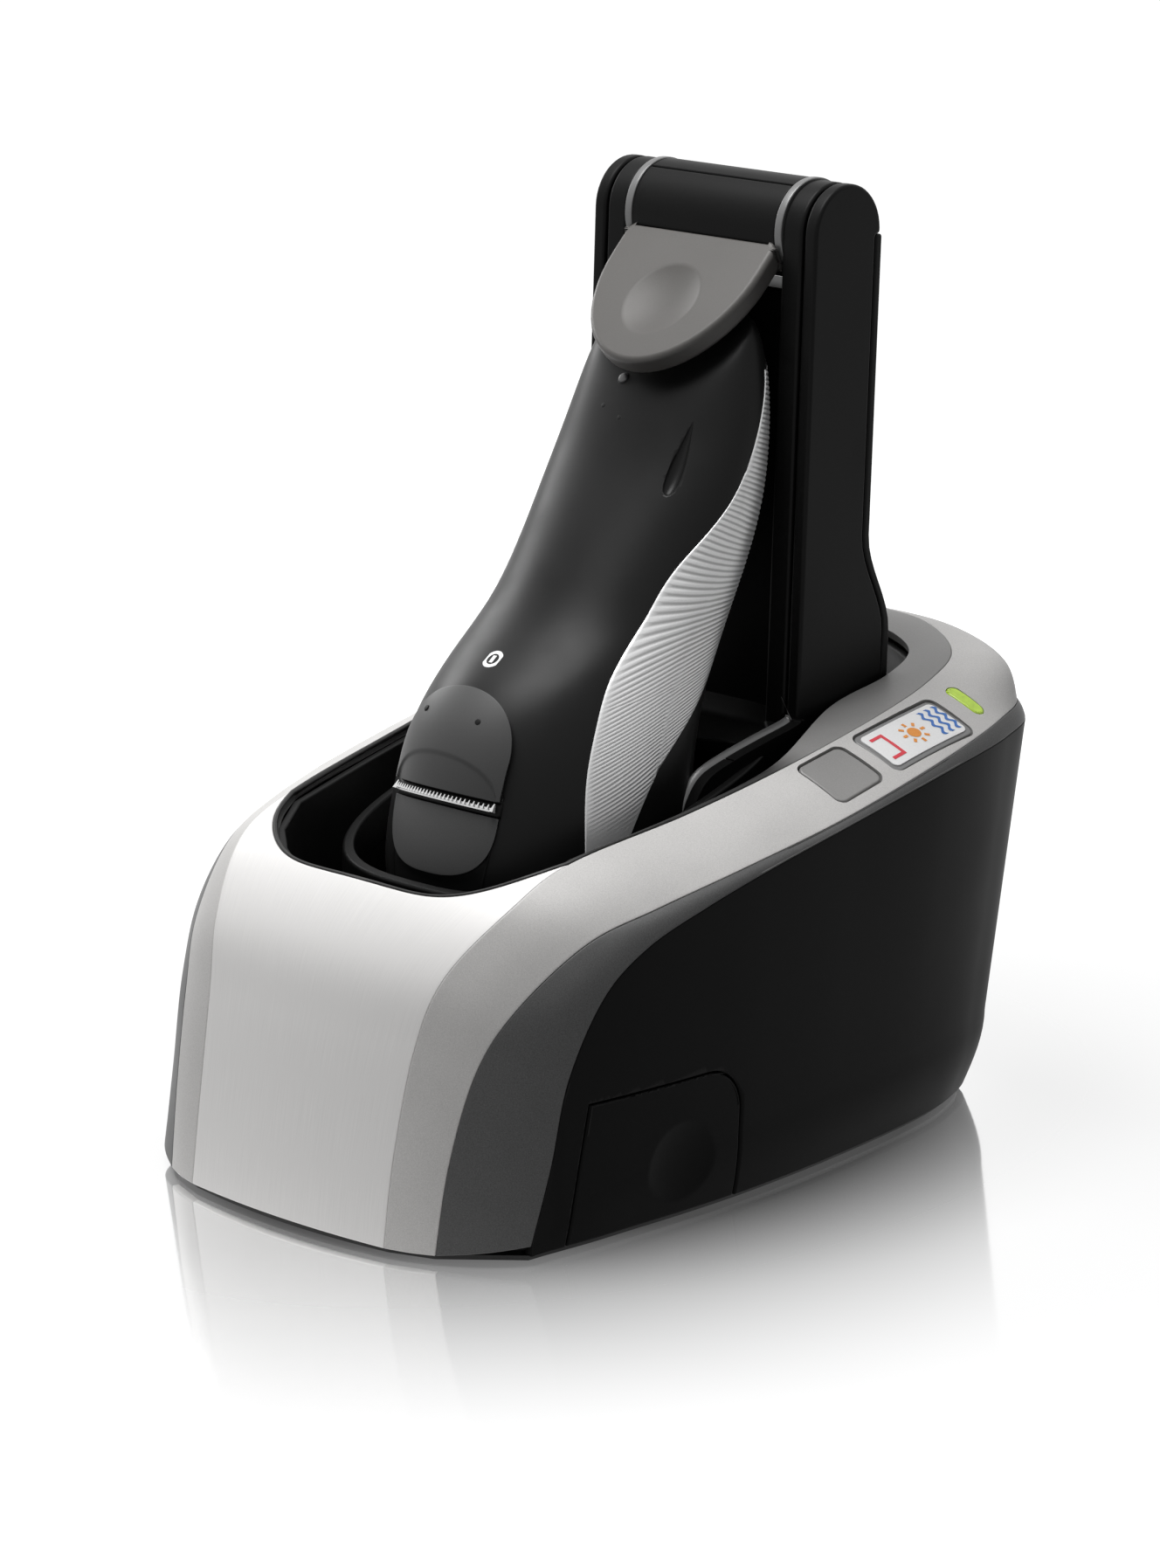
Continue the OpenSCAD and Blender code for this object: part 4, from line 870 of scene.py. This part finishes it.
comb = stand_for(link("trimmer_comb", bm), "trimmer_blade")
for face in comb.data.polygons:
    face.use_smooth = False

# %% Head cover and the part line beside it
COVER_V = 0.2350


def cover_face(a, b):
    """a from the rounded lower edge up to the slot, b from left to right."""
    x = math.sin(math.pi / 2 * (2 * b - 1))
    drop = 0.074 * max(1 - abs(x) ** 2.6, 0) ** (1 / 2.6) + 0.003
    return face_point(COVER_V + slot_rise(SLOT_HALF * x) - drop * (1 - a), SLOT_HALF * x, 0.0009)


face_plate("head_cover_plate", "head_cover", cover_face, 64, 40, 0.0008, 0.00025)


def line_on_shaver(name, points, width, proud):
    """A thin raised strip through surface places (v, w in degrees)."""
    rows = [Vector((v, math.radians(w), 0)) for v, w in points]
    half = width / GRIP / 2      # as an angle round the shaver

    def strip(a, b):
        at = spline(rows, b)
        w = at.y + half * (2 * a - 1)
        return shaver_point(at.x, w) + outward(at.x, w) * proud * math.sin(math.pi * (0.1 + 0.8 * a))

    return link(name, grid_on(strip, 4, 60))


for key, side in (("right", 1), ("left", -1)):
    path = [(0.232, 27 * side), (0.205, 26 * side), (0.17, 24.3 * side), (0.12, 22 * side)]
    part_line = line_on_shaver("part_line_" + key, path, 0.0005, 0.00012)
    carried(part_line, BODY_OF["shaver_body"], "black_fitting")

# %% [markdown]
# Small things on the face: a printed ring with a bar in it, two recesses in the trimmer, two on the shaver and a
# bright contact under the cap. Each recess is painted shade: a flat black disc at the surface in place of a hollow.

# %% Small things on the face
def stud(name, body, slot, v, w, radius, height, proud):
    """A small turned part at place v, w (in degrees) of the shaver's surface, proud of it."""
    w = math.radians(w)
    bm = bmesh.new()
    bmesh.ops.create_cone(bm, cap_ends=True, segments=32, radius1=radius, radius2=radius, depth=height)
    rims = [e for e in bm.edges if len(e.link_faces) == 2 and any(len(f.verts) > 4 for f in e.link_faces)]
    bmesh.ops.bevel(bm, geom=rims, offset=min(radius, height) * 0.25, offset_type="OFFSET", segments=3, profile=0.5,
                    affect="EDGES", material=-1)
    out = outward(v, w)
    turn = out.to_track_quat("Z", "Y").to_matrix().to_4x4()
    place = Matrix.Translation(shaver_point(v, w) + out * (proud - height / 2)) @ turn
    bmesh.ops.transform(bm, matrix=place, verts=bm.verts)
    carried(link(name, bm), body, slot)


ICON_V, ICON_W, ICON_LIFT = 0.4517, math.radians(-4.8), 0.00005
icon_out = outward(ICON_V, ICON_W)
icon_at = shaver_point(ICON_V, ICON_W)
icon_x = (Vector((1, 0, 0)) - icon_out * icon_out.x).normalized()
icon_y = icon_out.cross(icon_x)


def ring_print(a, b):
    radius, turn = 0.0015 + 0.0009 * a, 2 * math.pi * b
    x, y = radius * math.cos(turn), radius * math.sin(turn)
    fall = x * x / (2 * 0.022)      # the face is round from side to side
    return icon_at + icon_x * x + icon_y * y + icon_out * (ICON_LIFT - fall)


def bar_print(a, b):
    return icon_at + icon_x * 0.0005 * (2 * a - 1) + icon_y * 0.0010 * (2 * b - 1) + icon_out * (ICON_LIFT + 0.00001)


SHAVER, TRIMMER = BODY_OF["shaver_body"], BODY_OF["trimmer_housing"]
carried(link("face_ring_print", grid_on(ring_print, 3, 48, ring=True)), SHAVER, "light_lens")
carried(link("face_bar_print", grid_on(bar_print, 1, 1)), SHAVER, "light_lens")
# painted shade: each recess is a black disc flush with the face, not a hollow
for name, body, slot, v, w, radius, height, proud in (
        ("trimmer_recess_1", TRIMMER, "black_fitting", 0.3542, -18.4, 0.0007, 0.0012, TRIM_T + TRIM_GAP + 0.00004),
        ("trimmer_recess_2", TRIMMER, "black_fitting", 0.3542, 12.4, 0.0007, 0.0012, TRIM_T + TRIM_GAP + 0.00004),
        ("face_recess_1", SHAVER, "black_fitting", 0.846, -21.4, 0.0006, 0.0012, 0.00004),
        ("face_recess_2", SHAVER, "black_fitting", 0.835, -5.8, 0.0006, 0.0012, 0.00004),
        ("contact_collar", SHAVER, "black_fitting", 0.935, -16.2, 0.0017, 0.0016, 0.00005),
        ("contact_stud", SHAVER, "chrome_ring", 0.935, -16.2, 0.0011, 0.0020, 0.0005)):
    stud(name, body, slot, v, w, radius, height, proud)

# %% [markdown]
# ## Prints on the display
# A pale label lies in the display's frame. Three plain pictures are printed on it: waves at the rear, a sun in
# the middle, and a bracket at the front. Each print is a flat sheet a few hundredths of a millimetre over the label.

# %% Label and prints
LABEL_TOP, PRINT_LIFT = -0.00002, 0.00006      # height over the band, and of the prints over the label
PRINT_SCALE = 1.25
STATION = BODY_OF["display_window"]
label = band_block("display_label", DISPLAY_U, 0.0110, 0.0248, 0.0014, LABEL_TOP, 0.0006)
soften(carried(label, STATION, "light_lens"), 0.00012, 2)


def printed(name, surface, across, along, ring=False):
    """A print on the label; surface gives its x and y, before they are scaled to the label."""
    def sheet(u, v):
        x, y = (PRINT_SCALE * part for part in surface(u, v))
        return band_matrix(DISPLAY_U) @ Vector((x, y, band_height(DISPLAY_U, x, y) + LABEL_TOP + PRINT_LIFT))
    carried(link(name, grid_on(sheet, across, along, ring)), STATION, "display")


def disc(u, v):
    return 0.0013 * u * math.cos(2 * math.pi * v), 0.0013 * u * math.sin(2 * math.pi * v)


for k in range(3):
    def wave(u, v, k=k):
        x = -0.0034 + 0.0068 * v
        return x, 0.0052 + 0.0019 * k + 0.0004 * math.sin(v * 6 * math.pi) + 0.00075 * (u - 0.5)
    printed("wave_print_%d" % (k + 1), wave, 2, 48)
printed("sun_print_disc", disc, 3, 32, True)
for k in range(8):
    def ray(u, v, k=k):
        turn = k * math.pi / 4
        r, s = 0.0018 + 0.0010 * v, 0.0003 * (2 * u - 1)
        return r * math.cos(turn) - s * math.sin(turn), r * math.sin(turn) + s * math.cos(turn)
    printed("sun_print_ray_%d" % (k + 1), ray, 1, 3)
for k, (x0, x1, y0, y1) in enumerate(((-0.0030, 0.0030, -0.0063, -0.0056), (-0.0030, -0.0023, -0.0088, -0.0056),
                                      (0.0023, 0.0030, -0.0088, -0.0056))):
    def bar(u, v, x0=x0, x1=x1, y0=y0, y1=y1):
        return x0 + (x1 - x0) * u, y0 + (y1 - y0) * v
    printed("bracket_print_%d" % (k + 1), bar, 2, 2)

# %% [markdown]
# ## Finishes
# Two node groups carry what most finishes share. The first gives moulded plastic and sandy lacquer their fine
# speckle and slow variation, the second the long streaks of a brushed surface. Each material keeps its own
# shader and sets its constants there.

# %% Node groups
def add(tree, kind, inputs=None, **settings):
    """Adds a node; an input gets a value, or a link where the value is another node's output."""
    made = tree.nodes.new(kind)
    for key, value in settings.items():
        setattr(made, key, value)
    for key, value in (inputs or {}).items():
        if isinstance(value, bpy.types.NodeSocket):
            tree.links.new(value, made.inputs[key])
        else:
            made.inputs[key].default_value = value
    return made


def new_group(name, takes, gives):
    group = bpy.data.node_groups.new(name, "ShaderNodeTree")
    for label, kind, value in takes:
        socket = group.interface.new_socket(label, in_out="INPUT", socket_type="NodeSocket" + kind)
        if value is not None:
            socket.default_value = value
    for label, kind in gives:
        group.interface.new_socket(label, in_out="OUTPUT", socket_type="NodeSocket" + kind)
    return group, group.nodes.new("NodeGroupInput").outputs, group.nodes.new("NodeGroupOutput").inputs


def scaled(tree, colour, factor):
    """A colour multiplied by a value."""
    mix = add(tree, "ShaderNodeMix", {"Factor": 1.0}, data_type="RGBA", blend_type="MULTIPLY")
    tree.links.new(colour, mix.inputs[6])
    tree.links.new(factor, mix.inputs[7])
    return mix.outputs[2]


def ranged(tree, value, low, high, start=0.3, end=0.7, **settings):
    """Maps a noise value to a range; low and high are numbers or sockets."""
    return add(tree, "ShaderNodeMapRange", {"Value": value, "From Min": start, "From Max": end,
                                            "To Min": low, "To Max": high}, **settings).outputs[0]


def paint_shade(material, shade):
    """Paints shade into a finished material's colour: darkens it by a value."""
    links, base = material.node_tree.links, material.node_tree.nodes["Principled BSDF"].inputs["Base Color"]
    links.new(scaled(material.node_tree, base.links[0].from_socket, shade), base)


def seen_rays(tree):
    """1 for rays from the camera and those that are mirrored or pass through, else 0."""
    rays = add(tree, "ShaderNodeLightPath").outputs
    seen = rays["Is Camera Ray"]
    for kind in ("Is Glossy Ray", "Is Transmission Ray"):
        seen = add(tree, "ShaderNodeMath", {0: seen, 1: rays[kind]}, operation="MAXIMUM").outputs[0]
    return seen


def around(tree, middle, spread, value):
    """middle plus or minus spread, steered by a noise value."""
    low = add(tree, "ShaderNodeMath", {0: middle, 1: spread}, operation="SUBTRACT").outputs[0]
    high = add(tree, "ShaderNodeMath", {0: middle, 1: spread}, operation="ADD").outputs[0]
    return ranged(tree, value, low, high)


GIVES = [("Colour", "Color"), ("Roughness", "Float"), ("Height", "Float")]
speckle, put, get = new_group("moulded_speckle", [
    ("Colour", "Color", (0.5, 0.5, 0.5, 1)), ("Spread", "Float", 0.05), ("Scale", "Float", 3000.0),
    ("Roughness", "Float", 0.4), ("Roughness spread", "Float", 0.05)], GIVES)
place = add(speckle, "ShaderNodeTexCoord").outputs["Object"]
fine = add(speckle, "ShaderNodeTexNoise", {"Vector": place, "Scale": put["Scale"], "Detail": 2.0}).outputs["Fac"]
slow_scale = add(speckle, "ShaderNodeMath", {0: put["Scale"], 1: 0.015}, operation="MULTIPLY").outputs[0]
slow = add(speckle, "ShaderNodeTexNoise", {"Vector": place, "Scale": slow_scale, "Detail": 3.0}).outputs["Fac"]
both = add(speckle, "ShaderNodeMath", {0: fine, 1: 0.75}, operation="MULTIPLY").outputs[0]
both = add(speckle, "ShaderNodeMath", {0: slow, 1: 0.25, 2: both}, operation="MULTIPLY_ADD").outputs[0]
speckle.links.new(scaled(speckle, put["Colour"], around(speckle, 1.0, put["Spread"], both)), get["Colour"])
speckle.links.new(around(speckle, put["Roughness"], put["Roughness spread"], slow), get["Roughness"])
speckle.links.new(fine, get["Height"])

brush, put, get = new_group("brushed_streaks", [
    ("Vector", "Vector", None), ("Colour", "Color", (0.5, 0.5, 0.5, 1)), ("Spread", "Float", 0.06),
    ("Roughness", "Float", 0.35), ("Roughness spread", "Float", 0.06)], GIVES)
streak = add(brush, "ShaderNodeTexNoise",
             {"Vector": put["Vector"], "Scale": 1.0, "Detail": 5.0, "Roughness": 0.7}).outputs["Fac"]
brush.links.new(scaled(brush, put["Colour"], around(brush, 1.0, put["Spread"], streak)), get["Colour"])
brush.links.new(around(brush, put["Roughness"], put["Roughness spread"], streak), get["Roughness"])
brush.links.new(streak, get["Height"])


# %% [markdown]
# A finish is a Principled shader fed by one of the groups, with a little relief from the group's height.

# %% Finish makers
def grey(level, warm=0.0):
    """A linear grey from a display level between 0 and 255, a little warm or cool."""
    value = ((level / 255 + 0.055) / 1.055) ** 2.4
    return (value * (1 + warm), value, value * (1 - warm), 1)


def shader_of(name):
    made = bpy.data.materials.new(name)
    made.use_nodes = True
    tree = made.node_tree
    return made, tree, tree.nodes["Principled BSDF"]


def wired(tree, shader, shade, relief, distance, **settings):
    """Joins a shader to its node group and sets the group's and the shader's constants."""
    bump = add(tree, "ShaderNodeBump", {"Strength": relief, "Distance": distance, "Height": shade.outputs["Height"]})
    tree.links.new(shade.outputs["Colour"], shader.inputs["Base Color"])
    tree.links.new(shade.outputs["Roughness"], shader.inputs["Roughness"])
    tree.links.new(bump.outputs[0], shader.inputs["Normal"])
    for key, value in settings.items():
        shader.inputs[key.replace("_", " ")].default_value = value


def moulded_finish(name, colour, rough, metal=0.0, spread=0.05, rough_spread=0.05, scale=3000.0, relief=0.08,
                   specular=0.5, clear=0.0, glow=0.0):
    made, tree, shader = shader_of(name)
    shade = add(tree, "ShaderNodeGroup", node_tree=speckle)
    for key, value in (("Colour", colour), ("Spread", spread), ("Scale", scale), ("Roughness", rough),
                       ("Roughness spread", rough_spread)):
        shade.inputs[key].default_value = value
    wired(tree, shader, shade, relief, 0.00004, Metallic=metal, Specular_IOR_Level=specular, Transmission_Weight=clear)
    if glow:
        tree.links.new(shade.outputs["Colour"], shader.inputs["Emission Color"])
        shader.inputs["Emission Strength"].default_value = glow
    return made


def brushed_finish(name, colour, rough, metal, stretch, uv=None, spread=0.06, specular=0.5):
    """Streaks that are long where stretch is small; along the piece's own shares where uv is given."""
    made, tree, shader = shader_of(name)
    if uv:
        start = add(tree, "ShaderNodeUVMap", uv_map=uv).outputs["UV"]
    else:
        start = add(tree, "ShaderNodeTexCoord").outputs["Object"]
    long = add(tree, "ShaderNodeMapping", {"Vector": start, "Scale": stretch}).outputs[0]
    shade = add(tree, "ShaderNodeGroup", {"Vector": long}, node_tree=brush)
    for key, value in (("Colour", colour), ("Spread", spread), ("Roughness", rough)):
        shade.inputs[key].default_value = value
    wired(tree, shader, shade, 0.06, 0.00005, Metallic=metal, Specular_IOR_Level=specular)
    return made


# %% Finishes of this station
brushed_silver = brushed_finish("brushed_silver_lacquer", grey(214, 0.014), 0.45, 0.1, (420, 5, 1),
                                uv="shares", spread=0.05, specular=0.28)
sandy_silver = moulded_finish("sandy_silver_lacquer", grey(182, 0.018), 0.48, 0.1, spread=0.13, scale=4200,
                              relief=0.22, specular=0.22)
charcoal = moulded_finish("charcoal_lacquer", grey(78), 0.45, 0.05, spread=0.28, scale=4200, relief=0.2, specular=0.2)
housing_black = moulded_finish("black_housing_plastic", grey(12), 0.45, spread=0.12, rough_spread=0.04,
                               scale=1500, relief=0.03, specular=0.04)
tower_black = moulded_finish("black_tower_plastic", grey(13), 0.4, spread=0.12, rough_spread=0.05, scale=1800,
                             relief=0.04, specular=0.07)
liner_black = moulded_finish("black_liner_plastic", grey(12), 0.5, spread=0.2, scale=2500, relief=0.15, specular=0.15)
rim_gray = moulded_finish("gray_rim_plastic", grey(128, 0.015), 0.45, 0.05, spread=0.08, scale=3600,
                          relief=0.15, specular=0.25)
# painted shadow: the rim's colour is darkened towards the front, where it lies in shadow
tree = rim_gray.node_tree
depth = add(tree, "ShaderNodeSeparateXYZ", {"Vector": add(tree, "ShaderNodeTexCoord").outputs["Object"]}).outputs["Y"]
paint_shade(rim_gray, ranged(tree, depth, 0.08, 1.0, 0.004, 0.020, interpolation_type="SMOOTHSTEP"))
key_gray = moulded_finish("gray_key_lacquer", grey(130, 0.018), 0.42, 0.05, spread=0.08, scale=3600,
                          relief=0.12, specular=0.3)
pane_gray = moulded_finish("display_frame_lacquer", grey(120), 0.3, 0.1, spread=0.06, scale=3200, relief=0.06,
                           specular=0.3)
label_gray = moulded_finish("display_label_film", grey(226), 0.35, spread=0.03, scale=2600, relief=0.04, specular=0.3)
wave_blue = moulded_finish("wave_print_ink", (0.045, 0.15, 0.44, 1), 0.4, spread=0.08, scale=2600, specular=0.3)
sun_orange = moulded_finish("sun_print_ink", (0.70, 0.27, 0.05, 1), 0.4, spread=0.08, scale=2600, specular=0.3)
bracket_red = moulded_finish("bracket_print_ink", (0.62, 0.05, 0.07, 1), 0.4, spread=0.08, scale=2600, specular=0.3)
white_ink = moulded_finish("ring_print_ink", grey(225), 0.45, spread=0.05, scale=2600, specular=0.3)
lens_green = moulded_finish("charge_lens_plastic", (0.36, 0.52, 0.05, 1), 0.18, spread=0.15, scale=700,
                            relief=0.02, specular=0.4, glow=0.25)
cap_gray = moulded_finish("gray_cap_lacquer", grey(78, 0.045), 0.42, 0.05, spread=0.07, scale=4200,
                          relief=0.14, specular=0.22)
ring_silver = moulded_finish("satin_ring_silver", grey(104), 0.36, 0.3, spread=0.06, scale=3000, relief=0.05,
                             specular=0.35)
shaver_gray = moulded_finish("dark_shaver_lacquer", grey(24), 0.36, 0.0, spread=0.08, scale=4600, relief=0.05,
                             specular=0.11)
trimmer_gray = moulded_finish("trimmer_cover_lacquer", grey(68), 0.4, 0.0, spread=0.07, scale=4600,
                              relief=0.06, specular=0.22)
cover_gray = moulded_finish("head_cover_plastic", grey(86), 0.48, 0.0, spread=0.08, scale=4200, relief=0.12,
                            specular=0.2)
panel_silver = moulded_finish("ribbed_panel_silver", grey(230), 0.38, 0.3, spread=0.07, scale=4600, relief=0.1)
# painted shade: the grooves between the ribs are darkened in the colour; "ribs" holds the rib's phase and how far the
# ribs have come up
tree = panel_silver.node_tree
turns = add(tree, "ShaderNodeSeparateXYZ", {"Vector": add(tree, "ShaderNodeUVMap", uv_map="ribs").outputs["UV"]}).outputs
angle = add(tree, "ShaderNodeMath", {0: turns["X"], 1: 2 * math.pi}, operation="MULTIPLY").outputs[0]
crest = add(tree, "ShaderNodeMath", {0: angle}, operation="COSINE").outputs[0]
groove = ranged(tree, crest, 0.5, 1.0, -1.0, 0.3)
plain_share = add(tree, "ShaderNodeMath", {0: 1.0, 1: turns["Y"]}, operation="SUBTRACT").outputs[0]
paint_shade(panel_silver, add(tree, "ShaderNodeMath", {0: groove, 1: plain_share}, operation="MAXIMUM").outputs[0])
fitting_black = moulded_finish("black_fitting_plastic", grey(10), 0.45, spread=0.2, scale=2500, specular=0.12)
board_green = moulded_finish("board_lacquer", (0.02, 0.13, 0.05, 1), 0.35, spread=0.3, scale=900)
fitting_gray = moulded_finish("gray_fitting_plastic", grey(105), 0.5, spread=0.08, scale=2500, relief=0.1)
gear_dark = moulded_finish("gear_plastic", grey(46, 0.02), 0.42, spread=0.05, scale=2200, relief=0.08)
rubber = moulded_finish("soft_rubber", grey(26), 0.8, spread=0.15, scale=2600, relief=0.3, specular=0.15)
led_white = moulded_finish("diode_resin", grey(225), 0.2, spread=0.06, scale=1500, clear=0.2)
chamber_dark = moulded_finish("chamber_plastic", grey(34), 0.45, spread=0.12, scale=2600, relief=0.12, specular=0.25)
steel = brushed_finish("brushed_steel", grey(198), 0.3, 0.95, (300, 6000, 6000), spread=0.08)
brass = brushed_finish("contact_brass", (0.62, 0.42, 0.16, 1), 0.25, 0.95, (4000, 4000, 400), spread=0.08)
shaving_steel = brushed_finish("shaving_steel", grey(205), 0.28, 0.95, (5000, 5000, 300), spread=0.1)

# %% [markdown]
# ## Putting the finishes on
# Each slot of the record has one finish; a few pieces take their own. The CAD nodes that stay in view, such as
# the gears and the board, get theirs the same way.

# %% Assign finishes
FINISH = {
    "silver_panel": brushed_silver, "silver_frame": sandy_silver, "charcoal_trim": charcoal,
    "black_housing": housing_black,
    "gray_rim": rim_gray, "black_liner": liner_black, "button_gray": key_gray, "display": pane_gray,
    "light_lens": lens_green, "circuit_board": board_green, "black_fitting": fitting_black, "gray_fitting": fitting_gray,
    "led": led_white, "tower_black": tower_black, "steel": steel, "rubber": rubber, "gear_plastic": gear_dark,
    "chrome_ring": ring_silver, "cap_gray": cap_gray, "contact_brass": brass, "chamber_plastic": chamber_dark,
    "shaver_gray": shaver_gray, "silver_inlay": panel_silver, "shaving_steel": shaving_steel}
OWN_FINISH = {"display_label": label_gray, "face_ring_print": white_ink, "face_bar_print": white_ink,
              "trimmer_cover": trimmer_gray, "head_cover_plate": cover_gray}
PRINT_FINISH = {"wave_print": wave_blue, "sun_print": sun_orange, "bracket_print": bracket_red}


def finish_for(piece):
    if piece.name in OWN_FINISH:
        return OWN_FINISH[piece.name]
    for start, finish in PRINT_FINISH.items():
        if piece.name.startswith(start):
            return finish
    return FINISH[piece.get("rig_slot") or SLOT_OF[piece.name]]


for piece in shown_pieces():
    if not piece.data.materials:
        piece.data.materials.append(None)
    for place in piece.material_slots:
        place.material = finish_for(piece)

# %% [markdown]
# ## Floor, light and background
# The station stands on a pale floor that mirrors it close by and fades to white further off. One large soft
# light hangs above, a little to the front left, a small weak one stands on the left, and the surroundings give
# a weak even fill. The background is plain white to the camera and in mirrored and transmitted rays.

# %% Floor
MIRROR = 0.9             # how strongly the floor mirrors right beside the station
floor_white, tree, shader = shader_of("white_floor")
spot = add(tree, "ShaderNodeTexCoord").outputs["Object"]
near = add(tree, "ShaderNodeMapping", {"Vector": spot, "Scale": (1 / 0.065, 1 / 0.0945, 0)}).outputs[0]
near = add(tree, "ShaderNodeVectorMath", {0: near}, operation="LENGTH").outputs["Value"]
mirror = ranged(tree, near, 1.0, 0.0, 0.95, 2.5)
mirror = add(tree, "ShaderNodeMath", {0: mirror, 1: 1.6}, operation="POWER").outputs[0]
mirror = add(tree, "ShaderNodeMath", {0: mirror, 1: MIRROR}, operation="MULTIPLY").outputs[0]
away = add(tree, "ShaderNodeVectorMath", {0: spot}, operation="LENGTH").outputs["Value"]
lift = ranged(tree, away, 0.64, 1.0, 0.12, 0.45, interpolation_type="SMOOTHSTEP")
seen = add(tree, "ShaderNodeMath", {0: seen_rays(tree), 1: lift}, operation="MULTIPLY").outputs[0]
tree.links.new(seen, shader.inputs["Emission Color"])
shader.inputs["Base Color"].default_value = (0.34, 0.34, 0.34, 1)
shader.inputs["Roughness"].default_value = 0.7
shader.inputs["Specular IOR Level"].default_value = 0.0
shader.inputs["Emission Strength"].default_value = 1.0
gloss = add(tree, "ShaderNodeBsdfPrincipled", {"Base Color": (0.96, 0.96, 0.96, 1), "Metallic": 1.0, "Roughness": 0.07})
both = add(tree, "ShaderNodeMixShader", {0: mirror, 1: shader.outputs[0], 2: gloss.outputs[0]}).outputs[0]
tree.links.new(both, tree.nodes["Material Output"].inputs["Surface"])
bm = bmesh.new()
bmesh.ops.create_grid(bm, x_segments=4, y_segments=4, size=6)
floor = link("floor", bm)
floor.data.materials.append(floor_white)

# %% World and lights
world = bpy.data.worlds.new("studio")
bpy.context.scene.world = world
world.use_nodes = True
tree = world.node_tree
tree.nodes.clear()
fill = add(tree, "ShaderNodeBackground", {"Color": (0.96, 0.98, 1.0, 1), "Strength": 0.12}).outputs[0]
plain = add(tree, "ShaderNodeBackground", {"Color": (1, 1, 1, 1), "Strength": 1.0}).outputs[0]
mixed = add(tree, "ShaderNodeMixShader", {0: seen_rays(tree), 1: fill, 2: plain}).outputs[0]
add(tree, "ShaderNodeOutputWorld", {"Surface": mixed})


def soft_light(name, place, aim, size, watts):
    lamp = bpy.data.lights.new(name, "AREA")
    lamp.shape = "DISK"
    lamp.size = size
    lamp.energy = watts
    stand = bpy.data.objects.new(name, lamp)
    stand.location = place
    stand.rotation_euler = (Vector(place) - Vector(aim)).to_track_quat("Z", "Y").to_euler()
    bpy.context.scene.collection.objects.link(stand)


soft_light("key_light", (-0.10, -0.10, 0.75), (0, 0, 0.08), 0.5, 6.8)
soft_light("side_light", (-0.55, 0.05, 0.35), (0, 0, 0.10), 0.22, 0.9)
bpy.context.scene.view_settings.view_transform = "Standard"
